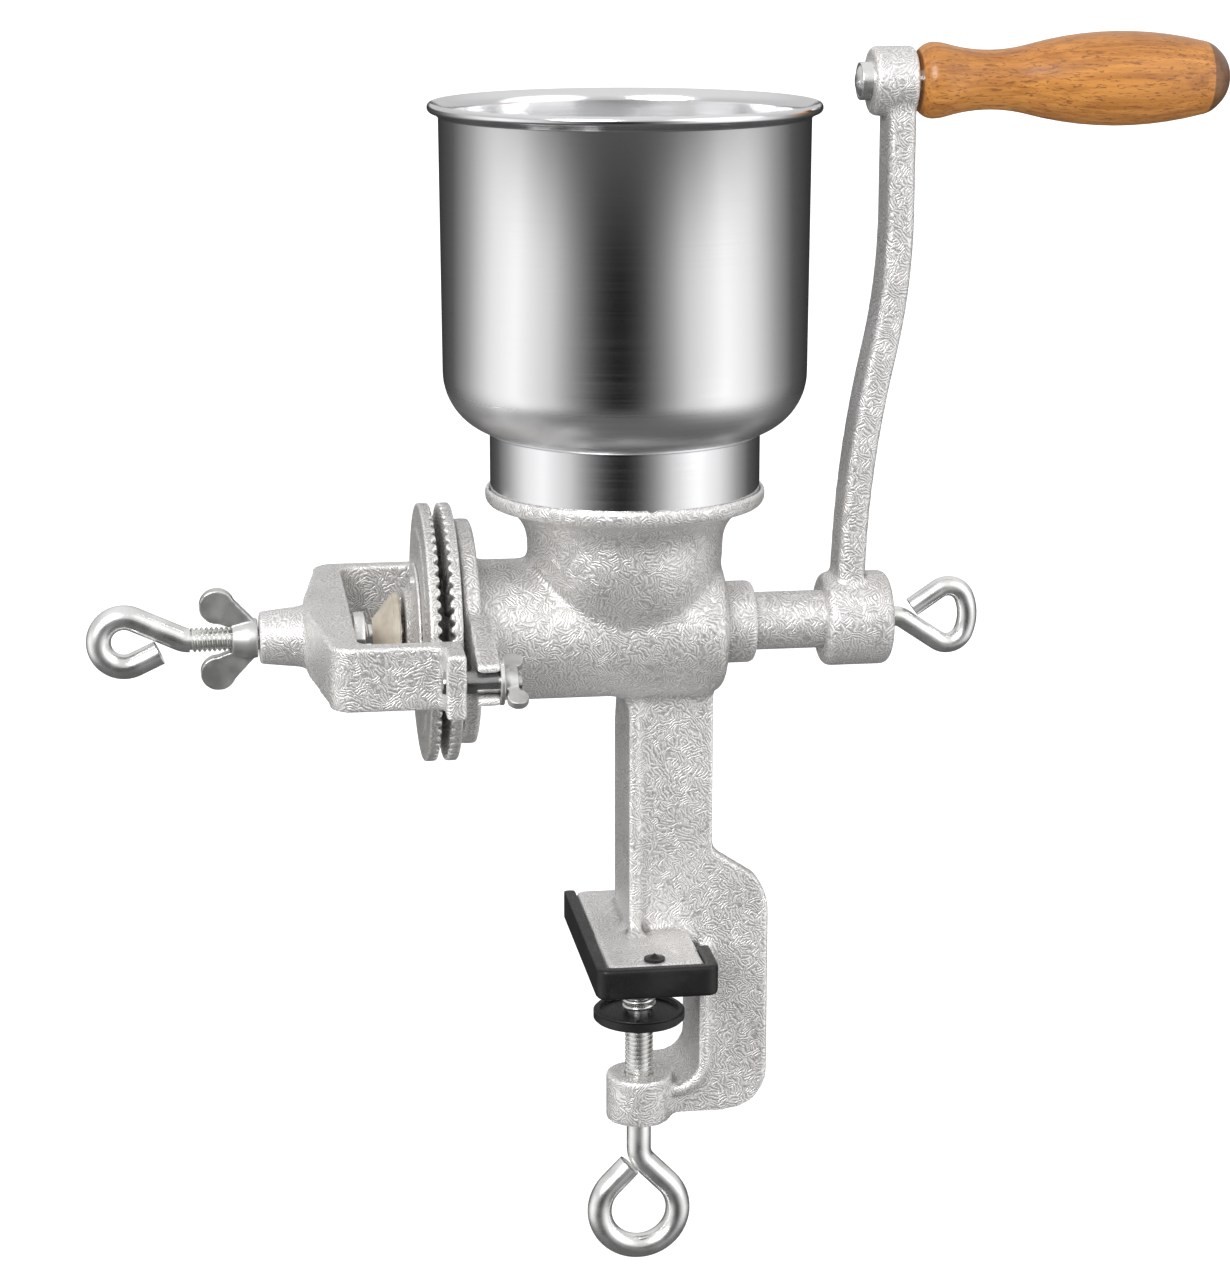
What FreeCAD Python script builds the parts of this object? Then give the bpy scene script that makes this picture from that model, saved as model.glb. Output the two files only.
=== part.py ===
"""Hand grain mill with a table clamp, in millimetres.

Origin: underside of the seat pad, on the clamp screw's axis. X runs along the barrel towards the crank, Y away
from the viewer, Z up. Every driving size is one cell of the sheet "dims".
"""

import FreeCAD, Part
import math
import os

import Sketcher

Vector = FreeCAD.Vector
Rotation = FreeCAD.Rotation

DIMENSIONS = {
    # Barrel and body casting
    "axis_height": 143.7,
    "barrel_radius": 29.0,
    "barrel_wall": 4.7,
    "barrel_end": 33.5,
    "end_wall": 7.7,
    "flange_face": 76.6,
    "flange_thickness": 7.0,
    "flange_radius": 46.0,
    "boss_length": 13.5,
    "boss_radius": 17.0,
    "casting_wall": 5.0,
    # Collar and funnel
    "hopper_shift": 6.3,
    "collar_height": 59.2,
    "collar_wall": 2.2,
    "collar_lip": 7.2,
    "waist_height": 36.0,
    "waist_radius": 40.0,
    "neck_seat_depth": 6.2,
    # Ears of the flange
    "ear_thickness": 8.8,
    "ear_pad": 4.3,
    "slot_clearance": 0.35,
    # Post, clamp frame and seat
    "web_front": 5.0,
    "web_thickness": 9.0,
    "post_left": 5.3,
    "post_right": 30.4,
    "rib_thickness": 5.2,
    "rim_bead": 2.4,
    "frame_right": 54.6,
    "frame_inside": 25.0,
    "frame_rim": 4.3,
    "frame_rim_depth": 45.0,
    "frame_bottom": 70.0,
    "jaw_opening": 57.0,
    "plate_width": 40.0,
    "plate_depth": 102.2,
    "plate_thickness": 7.6,
    "pad_floor": 4.8,
    "pad_wall": 5.2,
    "pad_notch": 26.0,
    "clamp_boss_radius": 14.0,
    "clamp_boss_top": 52.0,
    "clamp_boss_length": 20.5,
    "rivet_offset": 41.5,
    "rivet_radius": 2.5,
    "rivet_head_radius": 4.3,
    # Hopper
    "neck_radius": 54.8,
    "neck_height": 28.3,
    "sheet": 0.9,
    "bowl_radius": 74.1,
    "bowl_draft": 0.6,
    "bowl_height": 130.0,
    "shoulder_radius": 25.0,
    "rim_radius": 2.0,
    # Grinding discs
    "disc_radius": 52.7,
    "disc_rim": 5.0,
    "disc_gap": 3.3,
    "tooth_count": 64.0,
    "tooth_depth": 1.75,
    "tooth_width": 3.4,
    "tooth_length": 14.0,
    "feed_groove_count": 16.0,
    "feed_groove_depth": 2.2,
    "feed_groove_width": 5.0,
    "disc_screw_radius": 2.5,
    "disc_screw_head": 4.6,
    # Carrier, auger and crank
    "carrier_radius": 28.5,
    "carrier_length": 5.5,
    "carrier_hub_radius": 18.0,
    "spigot_radius": 14.0,
    "front_square": 12.4,
    "core_radius": 9.0,
    "flight_clearance": 0.7,
    "flight_pitch": 26.0,
    "flight_thickness": 4.0,
    "shaft_radius": 12.0,
    "shaft_clearance": 0.06,
    "crank_gap": 28.6,
    "rear_square": 15.0,
    "crank_hub_radius": 19.5,
    "crank_hub_length": 28.2,
    "crank_radius": 220.3,
    "arm_width": 21.0,
    "arm_thickness": 11.5,
    "arm_lean": 12.6,
    "arm_lower_bend": 470.0,
    "arm_upper_bend": 262.0,
    "arm_straight": 8.0,
    "arm_edge": 3.0,
    "grip_hub_radius": 13.8,
    "grip_hub_length": 18.0,
    # Grip
    "axle_radius": 4.0,
    "axle_head_radius": 7.6,
    "axle_head_length": 6.0,
    "axle_length": 96.0,
    "axle_end_radius": 5.2,
    "axle_end_length": 4.0,
    "grip_gap": 1.7,
    "grip_length": 128.8,
    "grip_bead_radius": 15.2,
    "grip_waist_radius": 11.9,
    "grip_belly_radius": 18.9,
    "grip_end_radius": 13.4,
    # Yoke and its fasteners
    "yoke_height": 26.0,
    "yoke_arm": 8.0,
    "disc_room": 5.3,
    "yoke_bridge": 10.0,
    "yoke_window": 40.2,
    "yoke_boss_length": 26.5,
    "yoke_boss_radius": 10.6,
    "yoke_boss_root": 13.0,
    "yoke_turn": 2.5,
    "lug_thickness": 8.0,
    "stud_radius": 4.5,
    "washer_radius": 9.3,
    "washer_thickness": 1.7,
    # Thrust pieces and adjusting screw
    "screw_radius": 5.0,
    "thread_clearance": 0.08,
    "ball_radius": 4.0,
    "cup_gap": 2.0,
    "thrust_washer_radius": 16.6,
    "thrust_washer_thickness": 2.6,
    "cup_length": 8.4,
    "cup_small_radius": 6.2,
    "cup_large_radius": 15.8,
    "journal_radius": 4.0,
    "jam_nut_flats": 17.0,
    "jam_nut_thickness": 4.6,
    "adjusting_loop": 10.2,
    "adjusting_half_angle": 25.0,
    "adjusting_reach": 30.0,
    # Crank eye screw
    "eye_screw_radius": 4.1,
    "eye_screw_loop": 12.2,
    "eye_screw_half_angle": 47.0,
    "eye_screw_depth": 24.0,
    "crank_washer_radius": 9.0,
    "crank_washer_thickness": 1.6,
    # Clamp screw and pad
    "clamp_screw_radius": 6.0,
    "clamp_rod_radius": 5.2,
    "clamp_loop": 17.0,
    "clamp_half_angle": 50.0,
    "clamp_apex": 93.0,
    "clamp_pad_radius": 19.4,
    "clamp_pad_top": 23.2,
    "clamp_pad_thickness": 4.7,
    "clamp_pad_recess": 1.5,
    "clamp_journal_radius": 5.0,
    "ring_wire_radius": 1.05,
    "ring_pitch": 2.6,
    "ring_turns": 2.0,
}

doc = FreeCAD.newDocument("hand_grain_mill")
sheet = doc.addObject("Spreadsheet::Sheet", "dims")
for row, (alias, number) in enumerate(DIMENSIONS.items(), start=1):
    sheet.set(f"A{row}", alias)
    sheet.set(f"B{row}", str(number))
    sheet.setAlias(f"B{row}", alias)
doc.recompute()


class Size:
    """A size that carries its number and the expression on the sheet that gives it."""

    def __init__(self, text, value):
        self.text = text
        self.value = value

    def joined(self, other, sign, value, swapped=False):
        other = sized(other)
        left, right = (other.text, self.text) if swapped else (self.text, other.text)
        return Size(f"({left} {sign} {right})", value)

    def __add__(self, other):
        return self.joined(other, "+", self.value + number_of(other))

    def __radd__(self, other):
        return self.joined(other, "+", number_of(other) + self.value, swapped=True)

    def __sub__(self, other):
        return self.joined(other, "-", self.value - number_of(other))

    def __rsub__(self, other):
        return self.joined(other, "-", number_of(other) - self.value, swapped=True)

    def __mul__(self, other):
        return self.joined(other, "*", self.value * number_of(other))

    def __rmul__(self, other):
        return self.joined(other, "*", number_of(other) * self.value, swapped=True)

    def __truediv__(self, other):
        return self.joined(other, "/", self.value / number_of(other))

    def __neg__(self):
        return Size(f"(-1 * {self.text})", -self.value)


def number_of(value):
    return value.value if isinstance(value, Size) else float(value)


def sized(value):
    return value if isinstance(value, Size) else Size(repr(float(value)), float(value))


def sine(angle):
    return Size(f"sin({angle.text} * 1 deg)", math.sin(math.radians(angle.value)))


def cosine(angle):
    return Size(f"cos({angle.text} * 1 deg)", math.cos(math.radians(angle.value)))


def root(value):
    return Size(f"sqrt({value.text})", math.sqrt(value.value))


class Cells:
    """Every cell of the sheet as an attribute."""

    def __init__(self, names):
        for name in names:
            setattr(self, name, Size(f"dims.{name}", float(sheet.get(name))))


d = Cells(DIMENSIONS)

# Places that several pieces share, along X and above the seat pad's underside
AXIS = d.axis_height
BORE_RADIUS = d.barrel_radius - d.barrel_wall
BORE_END = d.barrel_end - d.end_wall
BOSS_END = d.barrel_end + d.boss_length
HOPPER_X = -d.hopper_shift
COLLAR_RADIUS = d.neck_radius + d.collar_wall
COLLAR_TOP = AXIS + d.collar_height
NECK_SEAT = COLLAR_TOP - d.neck_seat_depth
YOKE_INSIDE = d.disc_radius + d.disc_room
YOKE_OUTSIDE = YOKE_INSIDE + d.yoke_arm
STUD_OFFSET = YOKE_OUTSIDE + d.stud_radius + 1.5
LUG_REACH = STUD_OFFSET + d.stud_radius + 3.5
EAR_REACH = STUD_OFFSET + d.stud_radius + 1.5
EAR_FACE = 1.6 - d.flange_face
LUG_FACE = EAR_FACE - d.ear_pad
EAR_BACK = EAR_FACE + d.ear_thickness
DISC_SEAT = 1.0
FIXED_DISC_FACE = -(d.flange_face + DISC_SEAT + d.disc_rim)
MOVING_DISC_FACE = FIXED_DISC_FACE - d.disc_gap
FIXED_SCREW_CIRCLE = d.flange_radius * 0.74
FIXED_SCREW_ANGLES = (101.25, 221.25, 341.25)
MOVING_SCREW_CIRCLE = d.carrier_radius * 0.78
MOVING_SCREW_ANGLES = (101.25, 281.25)
CARRIER_FACE = MOVING_DISC_FACE - d.disc_rim - DISC_SEAT
CARRIER_END = CARRIER_FACE - d.carrier_length
CUP_FACE = CARRIER_END - d.cup_gap
CUP_BACK = CUP_FACE - d.thrust_washer_thickness
CUP_END = CUP_BACK - d.cup_length
YOKE_INNER = LUG_FACE - d.yoke_window
YOKE_OUTER = YOKE_INNER - d.yoke_bridge
YOKE_END = YOKE_OUTER - d.yoke_boss_length
PLATE_BOTTOM = d.pad_floor
PLATE_TOP = d.pad_floor + d.plate_thickness
CRANK_START = BOSS_END + d.crank_gap
CRANK_END = CRANK_START + d.crank_hub_length
CRANK_X = CRANK_START + d.crank_hub_length / 2
CRANK_TOP = AXIS + d.crank_radius
ARM_X = CRANK_X - 2.9
CRANK_OUT = ARM_X + (d.arm_lower_bend + d.arm_upper_bend) * (1 - cosine(d.arm_lean))
GRIP_HUB_START = CRANK_OUT - 11.8
GRIP_HUB_END = GRIP_HUB_START + d.grip_hub_length
GRIP_START = GRIP_HUB_END + d.grip_gap
AXLE_END = GRIP_HUB_END + d.axle_length


def bind(thing, **sizes):
    """Binds properties to sizes; a double underscore in a name stands for a point."""
    for name, size in sizes.items():
        thing.setExpression(name.replace("__", "."), sized(size).text)
    return thing


def put(thing, x=0, y=0, z=0, axis=None, angle=0):
    """Places an object at bound coordinates, turned about an axis by a bound angle."""
    if axis is not None:
        thing.Placement = FreeCAD.Placement(Vector(), Rotation(Vector(*axis), number_of(angle)))
        if isinstance(angle, Size):
            bind(thing, Placement__Rotation__Angle=angle)
    return bind(thing, Placement__Base__x=x, Placement__Base__y=y, Placement__Base__z=z)


def new_body(name):
    return doc.addObject("PartDesign::Body", name)


def origin_feature(body, role):
    """One of a body's own planes or axes."""
    return next(feature for feature in body.Origin.OriginFeatures if feature.Role == role)


def place_point(sketch, geometry, end, x, y):
    """Fixes one end of an edge at bound coordinates."""
    for axis, kind, value in ((-2, "DistanceX", sized(x)), (-1, "DistanceY", sized(y))):
        if value.text == "0.0":
            sketch.addConstraint(Sketcher.Constraint("PointOnObject", geometry, end, axis))
        else:
            index = sketch.addConstraint(
                Sketcher.Constraint(kind, -1, 1, geometry, end, value.value)
            )
            sketch.setExpression(f"Constraints[{index}]", value.text)


def arc_between(start, finish, radius, long_way):
    """The arc from start to finish: a positive radius runs anticlockwise, a negative one clockwise."""
    chord = finish - start
    sagitta_side = 1 if (radius > 0) != long_way else -1
    rise = math.sqrt(max(radius * radius - chord.Length**2 / 4, 0))
    normal = Vector(-chord.y, chord.x, 0).normalize()
    centre = start + chord * 0.5 + normal * rise * sagitta_side
    first, last = (start, finish) if radius > 0 else (finish, start)
    angles = [math.atan2(p.y - centre.y, p.x - centre.x) for p in (first, last)]
    return Part.ArcOfCircle(Part.Circle(centre, Vector(0, 0, 1), abs(radius)), *angles)


def draw(sketch, points, closed=True):
    """Draws an outline through points (x, y), (x, y, radius) or (x, y, radius, "long").

    A radius makes the edge that arrives at its point an arc: positive turns left, negative turns right.
    """
    count = len(points)
    edges = []
    for index in range(count if closed else count - 1):
        start, finish = points[index], points[(index + 1) % count]
        here = Vector(number_of(start[0]), number_of(start[1]), 0)
        there = Vector(number_of(finish[0]), number_of(finish[1]), 0)
        if len(finish) == 2:
            geometry = sketch.addGeometry(Part.LineSegment(here, there), False)
            edges.append((geometry, 1, 2))
            continue
        radius = sized(finish[2])
        arc = arc_between(here, there, radius.value, len(finish) == 4)
        geometry = sketch.addGeometry(arc, False)
        edges.append((geometry, 1, 2) if radius.value > 0 else (geometry, 2, 1))
        length = radius if radius.value > 0 else -radius
        index_of = sketch.addConstraint(Sketcher.Constraint("Radius", geometry, length.value))
        sketch.setExpression(f"Constraints[{index_of}]", length.text)
    for index, (geometry, first, last) in enumerate(edges):
        place_point(sketch, geometry, first, *points[index][:2])
        if closed or index + 1 < len(edges):
            after, after_first, _ = edges[(index + 1) % len(edges)]
            sketch.addConstraint(
                Sketcher.Constraint("Coincident", geometry, last, after, after_first)
            )
    if not closed:
        geometry, _, last = edges[-1]
        place_point(sketch, geometry, last, *points[-1][:2])


def draw_circle(sketch, x, y, radius):
    centre = Vector(number_of(x), number_of(y), 0)
    circle = Part.Circle(centre, Vector(0, 0, 1), number_of(radius))
    geometry = sketch.addGeometry(circle, False)
    place_point(sketch, geometry, 3, x, y)
    index = sketch.addConstraint(Sketcher.Constraint("Radius", geometry, number_of(radius)))
    sketch.setExpression(f"Constraints[{index}]", sized(radius).text)


def new_sketch(body, role, name, height=0):
    """A sketch on one of the body's own planes; height lifts it along the plane's normal."""
    sketch = body.newObject("Sketcher::SketchObject", name)
    sketch.AttachmentSupport = [(origin_feature(body, role), "")]
    sketch.MapMode = "FlatFace"
    bind(sketch, AttachmentOffset__Base__z=height)
    return sketch


def revolve(body, name, points, about="H_Axis", role="XZ_Plane", kind="PartDesign::Revolution"):
    """Turns an outline about the sketch's horizontal or vertical axis."""
    sketch = new_sketch(body, role, name + "_outline")
    draw(sketch, points)
    feature = body.newObject(kind, name)
    feature.Profile = sketch
    feature.ReferenceAxis = (sketch, [about])
    feature.Angle = 360.0
    return feature


def pad(body, name, points, role, length, height=0, midplane=False, reverse=False):
    """Pads an outline; midplane spreads the length to both sides of the plane."""
    sketch = new_sketch(body, role, name + "_outline", height)
    draw(sketch, points)
    feature = body.newObject("PartDesign::Pad", name)
    feature.Profile = sketch
    feature.Midplane = midplane
    feature.Reversed = reverse
    bind(feature, Length=length)
    return feature


def cylinder(name, radius, length, x=0, y=0, z=0, along="Z"):
    """A cylinder that starts at a point and runs along Z or X."""
    solid = doc.addObject("Part::Cylinder", name)
    bind(solid, Radius=radius, Height=length)
    if along == "X":
        return put(solid, x, y, z, axis=(0, 1, 0), angle=90)
    return put(solid, x, y, z)


def box(name, length, width, height, x, y, z):
    solid = doc.addObject("Part::Box", name)
    bind(solid, Length=length, Width=width, Height=height)
    return put(solid, x, y, z)


def cone(name, radius, radius_end, length, x, y, z):
    """A cone along X from one radius to another."""
    solid = doc.addObject("Part::Cone", name)
    bind(solid, Radius1=radius, Radius2=radius_end, Height=length)
    return put(solid, x, y, z, axis=(0, 1, 0), angle=90)


def ball(name, radius, x, y, z):
    solid = doc.addObject("Part::Sphere", name)
    bind(solid, Radius=radius)
    return put(solid, x, y, z)


def fuse(name, *parts):
    """Joins two or more solids into one."""
    if len(parts) == 2:
        joined = doc.addObject("Part::Fuse", name)
        joined.Base, joined.Tool = parts
    else:
        joined = doc.addObject("Part::MultiFuse", name)
        joined.Shapes = list(parts)
    return joined


def cut(name, base, *tools):
    """Cuts one or more tools from a solid."""
    tool = tools[0] if len(tools) == 1 else fuse(name + "_tools", *tools)
    result = doc.addObject("Part::Cut", name)
    result.Base, result.Tool = base, tool
    return result


def compound(name, *parts):
    """A group of separate like solids under one name."""
    group = doc.addObject("Part::Compound", name)
    group.Links = list(parts)
    return group


def round_edges(body, name, base, radius, chosen):
    """Rounds the edges of a body's feature that the test picks out."""
    doc.recompute()
    fillet = body.newObject("PartDesign::Fillet", name)
    edges = enumerate(base.Shape.Edges, start=1)
    fillet.Base = (base, [f"Edge{index}" for index, edge in edges if chosen(edge)])
    bind(fillet, Radius=radius)
    return fillet


SUBPARTS = []


def finished(thing, label):
    """Names a finished sub-part; its label names its file."""
    thing.Label = label
    SUBPARTS.append(thing)
    return thing


def casting_core():
    """Barrel, front flange and rear bearing boss, turned as one."""
    front, back = -d.flange_face, -d.flange_face + d.flange_thickness
    body = put(new_body("core"), 0, 0, AXIS)
    revolve(
        body,
        "core_turned",
        [
            (front, 0),
            (front, d.flange_radius - 1),
            (front + 1, d.flange_radius, -1),
            (back - 1, d.flange_radius),
            (back, d.flange_radius - 1, -1),
            (back, d.barrel_radius + 4),
            (back + 4, d.barrel_radius, 4),
            (d.barrel_end - 6, d.barrel_radius),
            (d.barrel_end, d.barrel_radius - 6, -6),
            (d.barrel_end, d.boss_radius + 2),
            (d.barrel_end + 2, d.boss_radius, 2),
            (BOSS_END - 2.5, d.boss_radius),
            (BOSS_END, d.boss_radius - 2.5, -2.5),
            (BOSS_END, 0),
        ],
    )
    return body


def funnel_outside():
    """Collar ring, flare and the round bowl that opens into the barrel."""
    body = put(new_body("funnel"), HOPPER_X, 0, AXIS)
    low = d.waist_height - 2
    lip_low = d.collar_height - d.collar_lip
    revolve(
        body,
        "funnel_turned",
        [
            (0, low - d.waist_radius),
            (d.waist_radius, low, d.waist_radius),
            (d.waist_radius, d.waist_height),
            (COLLAR_RADIUS - 10, lip_low - 2.5, d.waist_radius * -0.4),
            (COLLAR_RADIUS - 3, lip_low),
            (COLLAR_RADIUS, lip_low + 3, 3.2),
            (COLLAR_RADIUS, d.collar_height - 1.5),
            (COLLAR_RADIUS - 1.2, d.collar_height, 1.6),
            (0, d.collar_height),
        ],
        about="V_Axis",
    )
    return body


def funnel_inside():
    """The hollow of the collar and funnel, with the step that the hopper's neck stands on."""
    body = put(new_body("funnel_hollow"), HOPPER_X, 0, AXIS)
    low = d.waist_height - 2
    inner = d.waist_radius - d.casting_wall
    seat = d.collar_height - d.neck_seat_depth
    mouth = d.neck_radius + 0.3
    revolve(
        body,
        "hollow_turned",
        [
            (0, low - inner),
            (inner, low, inner),
            (inner, d.waist_height),
            (mouth - 4.5, seat - 1, d.waist_radius * -0.45),
            (mouth - 4.5, seat),
            (mouth, seat),
            (mouth, d.collar_height + 1),
            (0, d.collar_height + 1),
        ],
        about="V_Axis",
    )
    return body


def ear(name, turn):
    """A slotted ear on the flange, open to the outside, with a low pad that the yoke's lug bears on."""
    body = put(new_body(name), EAR_FACE, 0, AXIS, axis=(1, 0, 0), angle=turn)
    half = d.stud_radius + d.slot_clearance
    inside = d.flange_radius * 0.56
    slot = STUD_OFFSET - half * 0.5
    pad(
        body,
        name + "_plate",
        [
            (-inside, d.flange_radius * 0.2),
            (-d.flange_radius * 0.9, half + 14.5),
            (-EAR_REACH, half + 3),
            (-EAR_REACH, half),
            (-slot, half),
            (half - slot, 0, -half),
            (-slot, -half, -half),
            (-EAR_REACH, -half),
            (-EAR_REACH, -half - 3.6),
            (-d.flange_radius * 1.1, -half - 7),
            (-inside, d.flange_radius * -0.2),
        ],
        "YZ_Plane",
        d.ear_thickness,
    )
    pad_inner = d.disc_radius + 3
    pad_outer = STUD_OFFSET - half - 1.5
    pad(
        body,
        name + "_pad",
        [
            (-pad_outer, -half - 5.2),
            (-pad_inner, -half - 5.2),
            (-pad_inner, -half - 0.7),
            (-pad_outer, -half - 0.7),
        ],
        "YZ_Plane",
        d.ear_pad,
        reverse=True,
    )
    return body


def clamp_frame():
    """The flat web: the post above the seat and the C-shaped frame below and right of it."""
    top = AXIS - d.barrel_radius
    bottom = -d.frame_bottom
    low = -d.jaw_opening
    corner = d.frame_inside * 0.44
    body = new_body("web")
    pad(
        body,
        "web_flat",
        [
            (-d.post_left - 7, top + 3),
            (-d.post_left - 7, top),
            (-d.post_left, top - 7, -7),
            (-d.post_left, PLATE_TOP + 5),
            (-d.post_left - 5, PLATE_TOP, -5),
            (-d.post_left - 5, PLATE_BOTTOM + 1),
            (d.frame_inside, PLATE_BOTTOM + 1),
            (d.frame_inside, low + corner),
            (d.frame_inside - corner, low, -corner),
            (0, low),
            (0, bottom),
            (d.frame_right - 18, bottom),
            (d.frame_right, bottom + 18, 18),
            (d.frame_right, PLATE_TOP + 6),
            (d.frame_right - 6, PLATE_TOP + 22, 26),
            (d.post_right + 3, PLATE_TOP + 32),
            (d.post_right, PLATE_TOP + 37, -8),
            (d.post_right, top + 3),
        ],
        "XZ_Plane",
        d.web_thickness,
        height=d.web_front - d.web_thickness,
    )
    return body


def frame_rim():
    """The rim that lines the inside of the C-shaped frame."""
    low = -d.jaw_opening
    corner = d.frame_inside * 0.44
    rim = d.frame_rim
    body = new_body("rim")
    pad(
        body,
        "rim_strip",
        [
            (d.frame_inside, PLATE_BOTTOM + 1),
            (d.frame_inside, low + corner),
            (d.frame_inside - corner, low, -corner),
            (d.clamp_boss_radius * 0.6, low),
            (d.clamp_boss_radius * 0.6, low - rim),
            (d.frame_inside - corner, low - rim),
            (d.frame_inside + rim, low + corner, corner + rim),
            (d.frame_inside + rim, PLATE_BOTTOM + 1),
        ],
        "XZ_Plane",
        d.frame_rim_depth,
        height=d.web_front + d.rim_bead - d.frame_rim_depth,
    )
    return body


def post_rib():
    """The rib along the post's left edge, a bead before the web that flares into a foot on the seat."""
    front = -d.web_front - d.rim_bead
    back = d.rivet_offset - d.rivet_head_radius - 0.3
    top = AXIS - d.barrel_radius
    body = put(new_body("rib"), -d.post_left, 0, 0)
    pad(
        body,
        "rib_plate",
        [
            (front - 5, PLATE_TOP - 2),
            (back, PLATE_TOP - 2),
            (back, top - 20),
            (d.barrel_radius * 0.8, top + 20),
            (front, top + 20),
            (front, PLATE_TOP + 6),
            (front - 5, PLATE_TOP + 1, -5),
        ],
        "YZ_Plane",
        d.rib_thickness,
    )
    return body


def rounded_rectangle(half_width, half_depth, radius):
    """Outline points of a rectangle with round corners about the origin."""
    return [
        (radius - half_width, -half_depth, radius),
        (half_width - radius, -half_depth),
        (half_width, radius - half_depth, radius),
        (half_width, half_depth - radius),
        (half_width - radius, half_depth, radius),
        (radius - half_width, half_depth),
        (-half_width, half_depth - radius, radius),
        (-half_width, radius - half_depth),
    ]


def seat_plate():
    body = put(new_body("plate"), 0, d.pad_wall / 2)
    outline = rounded_rectangle(d.plate_width / 2, d.plate_depth / 2, sized(3))
    pad(body, "plate_flat", outline, "XY_Plane", d.plate_thickness, height=PLATE_BOTTOM)
    return body


def on_circle(radius, angle):
    """Y and Z of a place on a circle about the barrel's axis."""
    across = radius * math.cos(math.radians(angle))
    upward = radius * math.sin(math.radians(angle))
    return across, AXIS + upward


def rivet_places():
    return {"front": -d.rivet_offset, "back": d.rivet_offset}


def body_casting():
    """The mill's body: one iron casting, with its bores cut through."""
    clamp_boss_bottom = -(d.clamp_boss_top + d.clamp_boss_length)
    clamp_boss = cylinder(
        "clamp_boss", d.clamp_boss_radius, d.clamp_boss_length, z=clamp_boss_bottom
    )
    outside = fuse(
        "casting_outside", casting_core(), funnel_outside(), ear("front_ear", d.yoke_turn),
        ear("back_ear", d.yoke_turn + 180), clamp_frame(), post_rib(), frame_rim(),
        seat_plate(), clamp_boss,
    )
    bore = cylinder(
        "bore", BORE_RADIUS, BORE_END + d.flange_face + 1, -d.flange_face - 1, 0, AXIS, "X"
    )
    bearing = cylinder(
        "bearing", d.shaft_radius + d.shaft_clearance, d.end_wall + d.boss_length + 2,
        BORE_END - 1, 0, AXIS, "X",
    )
    clamp_hole = cylinder(
        "clamp_hole", d.clamp_screw_radius + d.thread_clearance, d.clamp_boss_length + 2,
        z=clamp_boss_bottom - 1,
    )
    holes = [funnel_inside(), bore, bearing, clamp_hole]
    for side, offset in rivet_places().items():
        hole = cylinder(
            f"rivet_hole_{side}", d.rivet_radius, d.plate_thickness + 2, 0, offset,
            PLATE_BOTTOM - 1,
        )
        holes.append(hole)
    for index, angle in enumerate(FIXED_SCREW_ANGLES):
        y, z = on_circle(FIXED_SCREW_CIRCLE, angle)
        hole = cylinder(
            f"flange_hole_{index}", d.disc_screw_radius, d.flange_thickness + 2,
            -d.flange_face - 1, y, z, "X",
        )
        holes.append(hole)
    finished(cut("casting", outside, *holes), "body_casting")


def seat_pad():
    """Black tray under the seat plate: a wall at the left and in front, a short hook at the right."""
    wall = d.pad_wall
    across = d.plate_width / 2 + wall
    reach = (d.plate_depth + wall) / 2
    outline = [
        (wall - across, -reach, wall),
        (across - wall, -reach),
        (across, wall - reach, wall),
        (across, reach),
        (-across, reach),
        (-across, wall - reach),
    ]
    body = new_body("pad_tray")
    pad(body, "pad_block", outline, "XY_Plane", PLATE_TOP + 0.4)
    inside = box(
        "pad_inside", d.plate_width, d.plate_depth + 1, d.plate_thickness + 1,
        -d.plate_width / 2, wall - reach, PLATE_BOTTOM,
    )
    notch = box(
        "pad_notch_space", wall + 1, d.pad_notch + reach + 1, PLATE_TOP + 3,
        d.plate_width / 2, -d.pad_notch, -1,
    )
    holes = [
        cylinder(f"pad_hole_{side}", d.rivet_radius, d.pad_floor + 2, 0, offset, -1)
        for side, offset in rivet_places().items()
    ]
    finished(cut("pad_tray_cut", body, inside, notch, *holes), "seat_pad")


def seat_pad_rivets():
    """Two black push rivets with domed heads."""
    head = d.rivet_head_radius
    rivets = []
    for side, offset in rivet_places().items():
        body = put(new_body(f"rivet_{side}"), 0, offset, 0)
        revolve(
            body,
            f"rivet_{side}_turned",
            [
                (0, 0.3),
                (d.rivet_radius, 0.3),
                (d.rivet_radius, PLATE_TOP),
                (head, PLATE_TOP),
                (head, PLATE_TOP + 1.4),
                (0.8, PLATE_TOP + 3.2, head * 1.2),
                (0, PLATE_TOP + 3.2),
            ],
            about="V_Axis",
        )
        rivets.append(body)
    finished(compound("rivets", *rivets), "seat_pad_rivets")


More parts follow.
